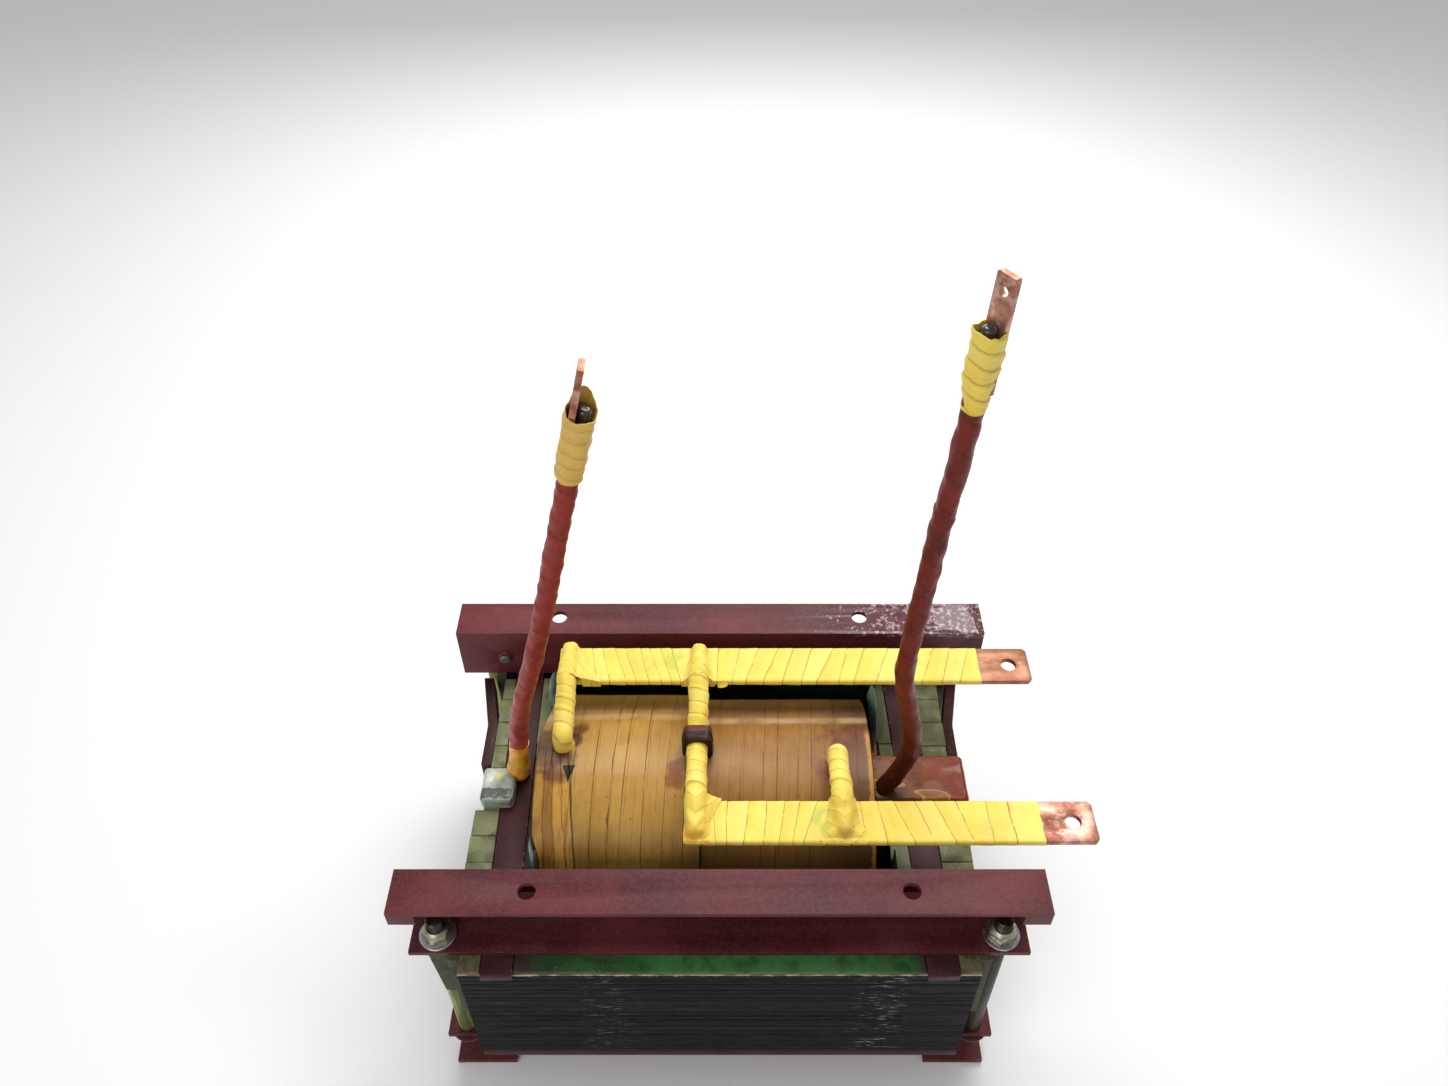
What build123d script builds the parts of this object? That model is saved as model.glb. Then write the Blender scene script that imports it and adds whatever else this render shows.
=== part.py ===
"""Open dry-type isolation transformer with a shell-type core that lies flat.

The laminations are horizontal. One coil sits on the centre limb, with its
axis along X. Painted steel angles clamp the core from above, channels carry
it from below, and four tie rods pull the two together. Two taped copper bars
and two stiff risers are the terminals.

Millimetres, +Z up, -Y is the front. The floor is Z = 0 and the core is
centred on X = 0, Y = 0 until place() moves everything to the box centre.
"""
import os
from math import cos, radians, tan

from build123d import *

# Core
limb_width = 70.0
centre_limb_width = 140.0
window_length = 401.0
window_depth = 95.75
yoke_width = 70.0
stack_height = 186.5
packet_count = 12

# Heights, from the floor up
base_height = 80.0
base_strip_height = 13.5
board_thickness = 5.0

# Top clamps
angle_height = 75.0
angle_depth = 50.0
angle_wall = 6.0
ledge_leg = 50.0
front_angle_past_core = 64.5
rear_angle_past_core = 53.5
ledge_past_core = 52.0
web_to_limb_edge = 4.5
root_radius = 6.0
lifting_hole_diameter = 19.0
front_lifting_hole_from_tip = 25.0
rear_lifting_hole_from_tip = 22.5
front_lifting_inside_window = 5.0
rear_lifting_inside_window = 14.5
rear_lifting_offset = -13.5
end_lip_length = 28.0
end_lip_drop = 16.0

# Base channels
channel_depth = 43.0
channel_web = 5.0
channel_flange = 7.0
channel_past_core = 45.5
foot_length = 71.0

# Tie rods
rod_diameter = 18.0
rod_past_core = 24.0
rod_from_web = 29.75
rod_below_clamp_top = 38.0
rod_hole_clearance = 0.5
rod_tail = 8.0
sleeve_wall = 1.2
sleeve_clearance = 0.2
nut_across_flats = 27.0
nut_height = 15.0
washer_diameter = 39.0
washer_thickness = 3.0

# Bolts that join each ledge to its angle
bolt_diameter = 8.0
bolt_from_core_end = 2.5
bolt_hole_reach = 20.0
bolt_below_top = 43.0
bolt_washer_diameter = 17.0
bolt_washer_thickness = 1.6
bolt_head_flats = 13.0
bolt_head_height = 5.5
bolt_nut_height = 6.5

# Bars, blocks and boards on the yokes
yoke_bar_width = 33.0
yoke_bar_from_window = 34.0
left_bar_shift = -1.5
right_bar_shift = -9.5
yoke_bar_skew = 1.5
yoke_bar_overhang = 4.2
yoke_bar_turndown = 11.0
yoke_bar_lip = 3.5
block_overhang = 9.5
block_gap = 1.0
block_thickness = 6.0
block_lengths = (42.0, 33.0, 33.0, 32.0, 23.0, 31.0, 34.0, 34.0, 32.0)
overhanging_blocks = 3
right_tile_overhang = 10.5
side_rail_thickness = 12.5
side_rail_height = 30.0
side_rail_length = 134.0
side_rail_straight = 60.0
side_rail_bend = 15.0
side_board_thickness = 12.5
side_board_length = 70.0
side_board_height = 120.0
side_board_proud = 13.0
rod_guard_width = 20.0
rod_guard_foot_width = 14.0
rod_guard_thickness = 9.0
rod_guard_height = 81.0

# Coil
coil_left_gap = 2.5
coil_right_gap = 28.5
left_section_length = 176.0
former_clearance = 0.25
former_wall = 3.0
former_corner = 3.0
former_end_gap = 2.0
inner_build = 30.0
inner_corner = 60.0
barrier_wall = 4.0
coil_side_gap = 10.75
outer_build_above = 29.5
coil_flat = 10.0
right_section_step = 6.0
wrap_wall = 3.0
cheek_thickness = 6.0
liner_wall = 1.5
liner_gap = 0.3
liner_return = 46.0
liner_top_above_core = 42.0
liner_bottom_below_core = 20.0

# Bus bars and the taped leads
bar_width = 50.0
bar_thickness = 6.0
bar_tape_wall = 1.0
bar_tape_rounding = 1.5
front_bare_length = 57.0
rear_bare_length = 59.5
terminal_hole_diameter = 17.5
terminal_hole_from_end = 24.0
bar_chamfer = 4.0
front_bar_y = -104.0
front_bar_before_split = 15.0
front_bar_past_core = 129.5
front_bar_above_coil = 9.25
rear_bar_y = 100.0
rear_bar_from_coil_end = 8.5
rear_bar_past_core = 93.5
rear_bar_above_coil = 24.25
lead_diameter = 24.0
lead_bend_radius = 16.0
lead_rise = 15.0
lead_seat = 3.0
lead_past_rear_bar = 4.0
lead_past_front_bar = -2.0
lead_foot_depth = 8.0
rear_left_lead_from_end = 20.5
rear_centre_lead_before_split = 2.5
front_centre_lead_before_split = 3.5
front_right_lead_from_end = 40.0
rear_left_lead_start_y = 4.0
front_right_lead_start_y = -12.0
binding_length = 22.0
binding_width = 36.0
binding_height = 31.0
binding_y = 0.0
binding_corner = 7.0

# Risers
riser_diameter = 19.0
collar_wall = 1.6
collar_length = 74.0
collar_overlap = 14.0
collar_flare = 4.0
collar_corner = 6.0
conductor_diameter = 13.0
conductor_proud = 5.0
conductor_dome = 4.5
terminal_width = 20.0
terminal_thickness = 6.0
terminal_proud = 48.0
terminal_eye_diameter = 9.0
terminal_eye_from_end = 15.0
terminal_corner = 2.0
boot_diameter = 26.0
boot_length = 46.0
boot_rounding = 3.0
left_terminal_turn = 90.0
right_terminal_turn = -53.0
lead_block_height = 26.0
lead_block_past_tiles = 2.0
right_block_front = -47.0
right_block_back = 16.0
left_block_front = -40.0
left_block_back = 5.0
left_block_past_bar = 3.0
left_block_height = 18.0

# Riser centre lines, as steps along X, Y and Z from each foot
left_foot_past_bar = 1.5
left_foot_y = 7.0
left_riser_run = (
    (0, 0, 0), (10, -5, 80), (19, -12, 140), (43, -20, 223), (66, -20, 315), (85, -20, 399), (107, -20, 493),
)
right_foot_past_coil = 15.0
right_foot_y = -29.0
right_riser_run = (
    (0, 0, 0), (22, 0, 52), (22, 0, 98), (12, 0, 144), (2, 0, 186), (1, 0, 224), (6, 0, 300), (11.5, 0, 406),
    (19, 0, 488), (22, 0, 556),
)

# Derived places
core_length = window_length + 2 * yoke_width
core_depth = 2 * limb_width + 2 * window_depth + centre_limb_width
half_length = core_length / 2
half_depth = core_depth / 2
half_window = window_length / 2
limb_inner_y = half_depth - limb_width
centre_half = centre_limb_width / 2
core_bottom = base_height + base_strip_height
core_top = core_bottom + stack_height
core_middle = (core_bottom + core_top) / 2
ledge_bottom = core_top + board_thickness
clamp_top = ledge_bottom + angle_height
web_inner_y = limb_inner_y - web_to_limb_edge
web_outer_y = web_inner_y + angle_wall
angle_tip_y = web_inner_y + angle_depth
ledge_tip_y = web_outer_y + ledge_leg
channel_back_y = angle_tip_y - channel_depth
front_angle_length = core_length + 2 * front_angle_past_core
rear_angle_length = core_length + 2 * rear_angle_past_core
ledge_length = core_length + 2 * ledge_past_core
channel_length = core_length + 2 * channel_past_core
front_lifting_pitch = window_length - 2 * front_lifting_inside_window
rear_lifting_pitch = window_length - 2 * rear_lifting_inside_window
rod_x = half_length + rod_past_core
rod_y = web_outer_y + rod_from_web
bolt_x = half_length - bolt_from_core_end
coil_left = coil_left_gap - half_window
coil_right = half_window - coil_right_gap
coil_split = coil_left + left_section_length
bore_width = centre_limb_width + 2 * former_clearance
bore_height = stack_height + 2 * former_clearance
tube_width = bore_width + 2 * former_wall
tube_height = bore_height + 2 * former_wall
inner_width = tube_width + 2 * inner_build
inner_height = tube_height + 2 * inner_build
barrier_width = inner_width + 2 * barrier_wall
barrier_height = inner_height + 2 * barrier_wall
coil_width = centre_limb_width + 2 * window_depth - 2 * coil_side_gap
coil_height = barrier_height + 2 * outer_build_above
coil_corner = (min(coil_width, coil_height) - coil_flat) / 2
coil_top = core_middle + coil_height / 2
front_bar_left = coil_split - front_bar_before_split
front_bar_right = half_length + front_bar_past_core
front_bar_z = coil_top + front_bar_above_coil
rear_bar_left = coil_left + rear_bar_from_coil_end
rear_bar_right = half_length + rear_bar_past_core
rear_bar_z = coil_top + rear_bar_above_coil
rear_left_lead_x = coil_left + rear_left_lead_from_end
rear_centre_lead_x = coil_split - rear_centre_lead_before_split
front_centre_lead_x = coil_split - front_centre_lead_before_split
front_right_lead_x = coil_right - front_right_lead_from_end
yoke_bar_x = half_window + yoke_bar_from_window
yoke_bar_inner = yoke_bar_x - yoke_bar_width / 2
yoke_bar_outer = yoke_bar_x + yoke_bar_width / 2
tile_reach = half_depth - side_board_proud - side_board_length
lead_block_base = core_top + block_thickness
lead_block_top = lead_block_base + lead_block_height
left_foot_x = -yoke_bar_x - left_foot_past_bar
right_foot_x = coil_right + right_foot_past_coil

parts = {}
on_base = (Align.CENTER, Align.CENTER, Align.MIN)


def block(x0, x1, y0, y1, z0, z1):
    """A box between two corners."""
    size = Box(x1 - x0, y1 - y0, z1 - z0, align=(Align.MIN, Align.MIN, Align.MIN))
    return Pos(x0, y0, z0) * size


def upright(x, y, z0, z1, radius):
    """A cylinder along Z."""
    return Pos(x, y, z0) * Cylinder(radius, z1 - z0, align=on_base)


def across(x, z, y0, y1, radius):
    """A cylinder along Y."""
    return Pos(x, y0, z) * (Rot(-90, 0, 0) * Cylinder(radius, y1 - y0, align=on_base))


def hexagon(across_flats, height):
    """A hexagonal prism on Z = 0 with its top corners turned off."""
    prism = extrude(RegularPolygon(across_flats / 2, 6, major_radius=False), height)
    corner_radius = across_flats / 2 / cos(radians(30))
    slope = height * 0.35
    crown = Cone(corner_radius + height - slope, corner_radius - slope, height, align=on_base)
    return prism & crown


def annulus(outer, inner, height):
    """A flat ring on Z = 0."""
    ring = Cylinder(outer / 2, height, align=on_base)
    return ring - Cylinder(inner / 2, height, align=on_base)


def mirrored_front(shape):
    """The same shape on the other side of the XZ plane."""
    return mirror(shape, Plane.XZ)


def group(shapes):
    """Separate solids in one node."""
    return Compound([solid for shape in shapes for solid in shape.solids()])


def add(name, shape):
    parts[name] = shape


def angle_bar(length, sign):
    """A rolled unequal angle with its tall leg on the coil side and its short leg on top."""
    profile = Polyline(
        (web_inner_y, ledge_bottom),
        (web_outer_y, ledge_bottom),
        (web_outer_y, clamp_top - angle_wall),
        (angle_tip_y, clamp_top - angle_wall),
        (angle_tip_y, clamp_top),
        (web_inner_y, clamp_top),
        close=True,
    )
    face = make_face(Plane.YZ * profile)
    bar = extrude(face, length / 2, both=True)
    root = bar.edges().filter_by(Axis.X).filter_by(
        lambda e: abs(e.center().Y - web_outer_y) < 0.1 and abs(e.center().Z - clamp_top + angle_wall) < 0.1
    )
    bar = fillet(root, root_radius)
    for end in (-1, 1):
        x0 = end * length / 2
        x1 = end * (length / 2 - end_lip_length)
        lip = block(
            min(x0, x1), max(x0, x1),
            angle_tip_y - angle_wall, angle_tip_y,
            clamp_top - angle_wall - end_lip_drop, clamp_top - angle_wall,
        )
        bar = bar + lip
    return bar if sign > 0 else mirrored_front(bar)


def lifting_holes(bar, sign, from_tip, pitch, offset):
    """Two vertical holes through the top leg."""
    y = sign * (angle_tip_y - from_tip)
    for x in (offset - pitch / 2, offset + pitch / 2):
        bar = bar - upright(x, y, clamp_top - 2 * angle_wall, clamp_top + 1, lifting_hole_diameter / 2)
    return bar


def bolt_positions():
    return [(side * bolt_x, clamp_top - bolt_below_top) for side in (-1, 1)]


def rod_positions():
    return [(sx * rod_x, sy * rod_y) for sx in (-1, 1) for sy in (-1, 1)]


def top_clamps():
    hole = bolt_diameter / 2 + rod_hole_clearance / 2
    front_holes = (front_lifting_hole_from_tip, front_lifting_pitch, 0.0)
    rear_holes = (rear_lifting_hole_from_tip, rear_lifting_pitch, rear_lifting_offset)
    for name, sign, length, holes in (
        ("front", -1, front_angle_length, front_holes),
        ("rear", 1, rear_angle_length, rear_holes),
    ):
        bar = lifting_holes(angle_bar(length, sign), sign, *holes)
        ledge = ledge_bar(sign)
        for x, z in bolt_positions():
            reach = (sign * web_inner_y - bolt_hole_reach, sign * web_inner_y + bolt_hole_reach)
            bar = bar - across(x, z, reach[0], reach[1], hole)
            ledge = ledge - across(x, z, reach[0], reach[1], hole)
        add(name + "_top_angle", bar)
        add(name + "_top_ledge", ledge)


def ledge_bar(sign):
    """An equal angle bolted to the outside of the top angle, with its flat leg down."""
    profile = Polyline(
        (web_outer_y, ledge_bottom),
        (ledge_tip_y, ledge_bottom),
        (ledge_tip_y, ledge_bottom + angle_wall),
        (web_outer_y + angle_wall, ledge_bottom + angle_wall),
        (web_outer_y + angle_wall, ledge_bottom + ledge_leg),
        (web_outer_y, ledge_bottom + ledge_leg),
        close=True,
    )
    bar = extrude(make_face(Plane.YZ * profile), ledge_length / 2, both=True)
    for side in (-1, 1):
        bar = bar - upright(
            side * rod_x, rod_y, ledge_bottom - 1, ledge_bottom + 2 * angle_wall,
            rod_diameter / 2 + rod_hole_clearance,
        )
    return bar if sign > 0 else mirrored_front(bar)


def base_channels():
    """Rolled channels with the lower flange left only as a foot at each end."""
    half = channel_length / 2
    profile = Polyline(
        (channel_back_y, 0),
        (angle_tip_y, 0),
        (angle_tip_y, channel_flange),
        (channel_back_y + channel_web, channel_flange),
        (channel_back_y + channel_web, base_height - channel_flange),
        (angle_tip_y, base_height - channel_flange),
        (angle_tip_y, base_height),
        (channel_back_y, base_height),
        close=True,
    )
    bar = extrude(make_face(Plane.YZ * profile), half, both=True)
    bar = bar - block(
        foot_length - half, half - foot_length,
        channel_back_y - 1, angle_tip_y + 1, -1, channel_flange,
    )
    for side in (-1, 1):
        bar = bar - upright(
            side * rod_x, rod_y, base_height - 2 * channel_flange, base_height + 1,
            rod_diameter / 2 + rod_hole_clearance,
        )
    add("rear_base_channel", bar)
    add("front_base_channel", mirrored_front(bar))
    strip = block(-half_length, half_length, channel_back_y, half_depth, base_height, core_bottom)
    add("rear_base_strip", strip)
    add("front_base_strip", mirrored_front(strip))


def tie_rods():
    rod_top = clamp_top - rod_below_clamp_top
    nut_seat = ledge_bottom + angle_wall + washer_thickness
    under = base_height - channel_flange - washer_thickness
    rods, sleeves, nuts, washers = [], [], [], []
    for x, y in rod_positions():
        rod = upright(x, y, under - nut_height - rod_tail, rod_top, rod_diameter / 2)
        rods.append(chamfer(rod.edges(), 1.2))
        inner = rod_diameter + 2 * sleeve_clearance
        tube = annulus(inner + 2 * sleeve_wall, inner, ledge_bottom - base_height)
        sleeves.append(Pos(x, y, base_height) * tube)
        nut = hexagon(nut_across_flats, nut_height)
        nut = nut - Cylinder(rod_diameter / 2, nut_height, align=on_base)
        nuts.append(Pos(x, y, nut_seat) * Rot(0, 0, 17) * nut)
        nuts.append(Pos(x, y, under) * Rot(180, 0, 8) * nut)
        washer = annulus(washer_diameter, rod_diameter + 1, washer_thickness)
        washers.append(Pos(x, y, nut_seat - washer_thickness) * washer)
        washers.append(Pos(x, y, under) * washer)
    add("tie_rods", group(rods))
    add("tie_rod_sleeves", group(sleeves))
    add("tie_rod_nuts", group(nuts))
    add("tie_rod_washers", group(washers))


def clamp_bolts():
    """Bolts through angle and ledge, heads on the coil side."""
    grip = 2 * angle_wall
    shanks, nuts, washers = [], [], []
    hex_head = hexagon(bolt_head_flats, bolt_head_height)
    hex_nut = hexagon(bolt_head_flats, bolt_nut_height)
    hex_nut = hex_nut - Cylinder(bolt_diameter / 2, bolt_nut_height, align=on_base)
    washer = annulus(bolt_washer_diameter, bolt_diameter + 0.6, bolt_washer_thickness)
    tail = grip + 2 * bolt_washer_thickness + bolt_nut_height + 3
    bolt = Rot(180, 0, 0) * hex_head + Cylinder(bolt_diameter / 2, tail, align=on_base)
    for x, z in bolt_positions():
        seat = Pos(x, web_inner_y, z) * Rot(-90, 0, 0)
        shanks.append(seat * Pos(0, 0, -bolt_washer_thickness) * bolt)
        washers.append(seat * Pos(0, 0, -bolt_washer_thickness) * washer)
        washers.append(seat * Pos(0, 0, grip) * washer)
        nuts.append(seat * Pos(0, 0, grip + bolt_washer_thickness) * hex_nut)
    sets = {"clamp_bolts": shanks, "clamp_bolt_nuts": nuts, "clamp_bolt_washers": washers}
    for name, shapes in sets.items():
        add(name, group(shapes + [mirrored_front(s) for s in shapes]))


def core():
    """Interleaved packets: each joint changes sides from one packet to the next."""
    step = stack_height / packet_count
    limb, centre, yoke = [], [], []
    for i in range(packet_count):
        z0 = core_bottom + i * step
        z1 = z0 + step
        long_limb = i % 2 == 0
        limb_end = half_length if long_limb else half_window
        centre_end = half_window if long_limb else half_length
        limb.append(block(-limb_end, limb_end, limb_inner_y, half_depth, z0, z1))
        centre.append(block(-centre_end, centre_end, -centre_half, centre_half, z0, z1))
        if long_limb:
            yoke.append(block(half_window, half_length, -limb_inner_y, limb_inner_y, z0, z1))
        else:
            yoke.append(block(half_window, half_length, centre_half, half_depth, z0, z1))
            yoke.append(block(half_window, half_length, -half_depth, -centre_half, z0, z1))
    rear_limb = limb[0].fuse(*limb[1:]).clean()
    right_yoke = yoke[0].fuse(*yoke[1:]).clean()
    add("rear_limb", rear_limb)
    add("front_limb", mirrored_front(rear_limb))
    add("centre_limb", centre[0].fuse(*centre[1:]).clean())
    add("right_yoke", right_yoke)
    add("left_yoke", mirror(right_yoke, Plane.YZ))


def yoke_bar():
    """A flat bar with a short turned-down end over each core face, still square to the core."""
    reach = half_depth + yoke_bar_overhang
    bar = block(yoke_bar_inner, yoke_bar_outer, -reach, reach, core_top, ledge_bottom)
    for sign in (-1, 1):
        y0 = sign * (reach - yoke_bar_lip)
        y1 = sign * reach
        bar = bar + block(
            yoke_bar_inner, yoke_bar_outer, min(y0, y1), max(y0, y1),
            ledge_bottom - yoke_bar_turndown, ledge_bottom,
        )
    outer = bar.edges().filter_by(Axis.X).group_by(Axis.Z)[-1]
    return Pos(-yoke_bar_x, 0, 0) * fillet(outer, 2.0)


def yoke_bars():
    """The bars lie a little askew on the yokes."""
    skewed = Rot(0, 0, yoke_bar_skew) * yoke_bar()
    add("left_yoke_bar", Pos(left_bar_shift - yoke_bar_x, 0, 0) * skewed)
    add("right_yoke_bar", Pos(right_bar_shift + yoke_bar_x, 0, 0) * skewed)


def room_for_bars():
    """The space that the boards and tiles leave free for the two bars."""
    width = yoke_bar_width + 2 * block_gap
    strip = Box(width, 2 * core_depth, 4 * block_thickness)
    strip = Rot(0, 0, yoke_bar_skew) * strip
    left = Pos(left_bar_shift - yoke_bar_x, 0, core_top) * strip
    right = Pos(right_bar_shift + yoke_bar_x, 0, core_top) * strip
    return left + right


def limb_boards():
    """Insulating boards between each limb and its clamp, cut round the yoke bars."""
    board = block(-half_length, half_length, limb_inner_y, half_depth, core_top, ledge_bottom)
    gaps = room_for_bars()
    add("rear_limb_boards", group([board - gaps]))
    add("front_limb_boards", group([mirrored_front(board) - gaps]))


def yoke_blocks():
    """Insulating tiles on the yokes, outside and inside each yoke bar."""
    top = core_top + block_thickness
    inner_top = core_top + board_thickness
    gaps = room_for_bars()
    for name, side, bar_x, overhang in (
        ("left", -1, yoke_bar_x - left_bar_shift, -block_gap),
        ("right", 1, yoke_bar_x + right_bar_shift, right_tile_overhang),
    ):
        tiles = []
        y = block_gap - tile_reach
        for i, length in enumerate(block_lengths):
            end = min(y + length, tile_reach - block_gap)
            outer = half_length + (block_overhang if i < overhanging_blocks else 0)
            tiles.append(block(bar_x, outer, y, end, core_top, top))
            y = end + block_gap
        third = 2 * tile_reach / 3
        for i in range(3):
            y0 = -tile_reach + i * third
            inner = half_window - overhang
            tiles.append(block(inner, bar_x, y0 + block_gap, y0 + third, core_top, inner_top))
        tiles = [t if side > 0 else mirror(t, Plane.YZ) for t in tiles]
        add(name + "_yoke_blocks", group([t - gaps for t in tiles]))


def side_pieces():
    rail_top = core_top + block_thickness
    rail_front = tile_reach - side_rail_length
    bend = rail_front + side_rail_straight
    out = half_length + side_rail_thickness
    outline = Polyline(
        (half_length, rail_front),
        (out, rail_front),
        (out, bend),
        (out + side_rail_bend, tile_reach),
        (half_length + side_rail_bend, tile_reach),
        (half_length, bend),
        close=True,
    )
    rail = Pos(0, 0, rail_top - side_rail_height) * extrude(make_face(outline), side_rail_height)
    front_end = rail.edges().filter_by(Axis.Z).group_by(Axis.Y)[0]
    rail = fillet(front_end, 4.0)
    add("right_side_rail", rail)
    add("left_side_rail", mirror(rail, Plane.YZ))
    front_y = half_depth - side_board_proud
    board = block(
        half_length, half_length + side_board_thickness,
        front_y - side_board_length, front_y,
        ledge_bottom - side_board_height, ledge_bottom,
    )
    left = mirror(board, Plane.YZ)
    add("side_boards", group([board, left, mirrored_front(board), mirrored_front(left)]))
    inner_x = -half_length - side_board_thickness
    outline = Polyline(
        (inner_x - rod_guard_width, ledge_bottom),
        (inner_x, ledge_bottom),
        (inner_x, ledge_bottom - rod_guard_height),
        (inner_x - rod_guard_foot_width, ledge_bottom - rod_guard_height),
        close=True,
    )
    guard = extrude(make_face(Plane.XZ * outline), rod_guard_thickness, dir=(0, -1, 0))
    sleeve_front = rod_y + rod_diameter / 2 + sleeve_clearance + sleeve_wall
    add("left_rod_guard", Pos(0, -sleeve_front, 0) * guard)


def rounded_prism(width, height, corner, x0, x1):
    """A rounded rectangle in the YZ plane, run along X about the limb's axis."""
    outline = Plane.YZ * RectangleRounded(width, height, corner)
    return Pos(x0, 0, core_middle) * extrude(outline, x1 - x0)


def coil():
    left_end = former_end_gap - half_window
    right_end = half_window - right_tile_overhang - former_end_gap
    former = rounded_prism(tube_width, tube_height, former_corner, left_end, right_end)
    former = former - rounded_prism(bore_width, bore_height, 0.5, left_end, right_end)
    add("coil_former", former)

    inner_x = (coil_left + cheek_thickness, coil_right - cheek_thickness)
    solid = rounded_prism(inner_width, inner_height, inner_corner, *inner_x)
    add("inner_winding", solid - rounded_prism(tube_width, tube_height, former_corner, *inner_x))

    cheeks = []
    for x0, x1 in ((coil_left, inner_x[0]), (inner_x[1], coil_right)):
        ring = rounded_prism(inner_width, inner_height, inner_corner, x0, x1)
        cheeks.append(ring - rounded_prism(tube_width, tube_height, former_corner, x0, x1))
    add("coil_end_cheeks", group(cheeks))

    barrier_corner = inner_corner + barrier_wall
    barrier = rounded_prism(barrier_width, barrier_height, barrier_corner, coil_left, coil_right)
    barrier = barrier - rounded_prism(inner_width, inner_height, inner_corner, coil_left, coil_right)
    add("winding_barrier", barrier)

    sections = (
        ("left", coil_left, coil_split, 0.0, 1),
        ("right", coil_split, coil_right, right_section_step, -1),
    )
    for name, x0, x1, step, outer_end in sections:
        width = coil_width - 2 * step
        height = coil_height - 2 * step
        corner = coil_corner - step
        wrap = rounded_prism(width, height, corner, x0, x1)
        wrap = wrap - rounded_prism(barrier_width, barrier_height, barrier_corner, x0, x1)
        inside = (width - 2 * wrap_wall, height - 2 * wrap_wall, corner - wrap_wall)
        section = rounded_prism(*inside, x0 + wrap_wall, x1 - wrap_wall)
        section = section - rounded_prism(
            barrier_width, barrier_height, barrier_corner, x0 + wrap_wall, x1 - wrap_wall
        )
        add(name + "_outer_section", section)
        add(name + "_coil_wrap", wrap - section)


def slot_liners():
    """Thin film round each window, turned in at its ends and standing above the core."""
    x_left = liner_gap - half_window
    x_right = half_window - right_tile_overhang - liner_gap
    y_out = limb_inner_y - liner_gap
    z0 = core_bottom - liner_bottom_below_core
    z1 = core_top + liner_top_above_core
    web_gap = web_inner_y - liner_gap
    y_face = min(y_out, web_gap)
    skin = block(x_left, x_right, y_face - liner_return, y_face, z0, z1)
    hollow = block(
        liner_wall + x_left, x_right - liner_wall,
        y_face - liner_return - 1, y_face - liner_wall, z0 - 1, z1 + 1,
    )
    liner = skin - hollow
    add("rear_slot_liner", liner)
    add("front_slot_liner", mirrored_front(liner))


def bus_bar(name, left, right, bare_length, y, z):
    """A flat copper bar with a taped length and a bare drilled end."""
    half = bar_width / 2
    low, high = z - bar_thickness / 2, z + bar_thickness / 2
    bar = block(left + bar_tape_wall, right, y - half, y + half, low, high)
    corners = bar.edges().filter_by(Axis.Z).group_by(Axis.X)[-1]
    bar = chamfer(corners, bar_chamfer)
    hole_x = right - terminal_hole_from_end
    bar = bar - upright(hole_x, y, z - bar_thickness, z + bar_thickness, terminal_hole_diameter / 2)
    add(name + "_bus_bar", bar)
    tape_end = right - bare_length
    tape = tape_outline(left, tape_end, y, z)
    tape = fillet(tape.edges().filter_by(Axis.X), bar_tape_rounding)
    inner = block(left + bar_tape_wall, tape_end, y - half, y + half, low, high)
    add(name + "_bar_tape", tape - inner)


def tube_along(path, radius):
    """A round bar swept along a path of straight runs and tangent arcs."""
    start = Plane(origin=path @ 0, z_dir=path % 0)
    return sweep(start * Circle(radius), path=path)


def section_outline(step, x0, x1):
    """The solid outline of a coil section, used to seat what stands on it."""
    return rounded_prism(coil_width - 2 * step, coil_height - 2 * step, coil_corner - step, x0, x1)


def bent_lead(x, y_start, y_end, z_start, z_end, step):
    """A taped lead that rises out of the coil and lies down over its bus bar."""
    foot = coil_top - step - lead_foot_depth
    points = [(x, y_start, foot), (x, y_start, z_start), (x, y_end, z_end)]
    path = FilletPolyline(*points, radius=[lead_bend_radius])
    return tube_along(path, lead_diameter / 2) - section_outline(step, coil_left, coil_right)


def tape_outline(left, right, y, z):
    """The outside of a bar's tape, used to seat the leads that lie on it."""
    half = bar_width / 2 + bar_tape_wall
    rise = bar_thickness / 2 + bar_tape_wall
    return block(left, right, y - half, y + half, z - rise, z + rise)


def straight_lead(x, y_start, y_end, z_start, z_end):
    run = Line((x, y_start, z_start), (x, y_end, z_end))
    face = Pos(x, y_start, z_start) * (Plane.XZ * Circle(lead_diameter / 2))
    return sweep(face, path=run)


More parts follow.
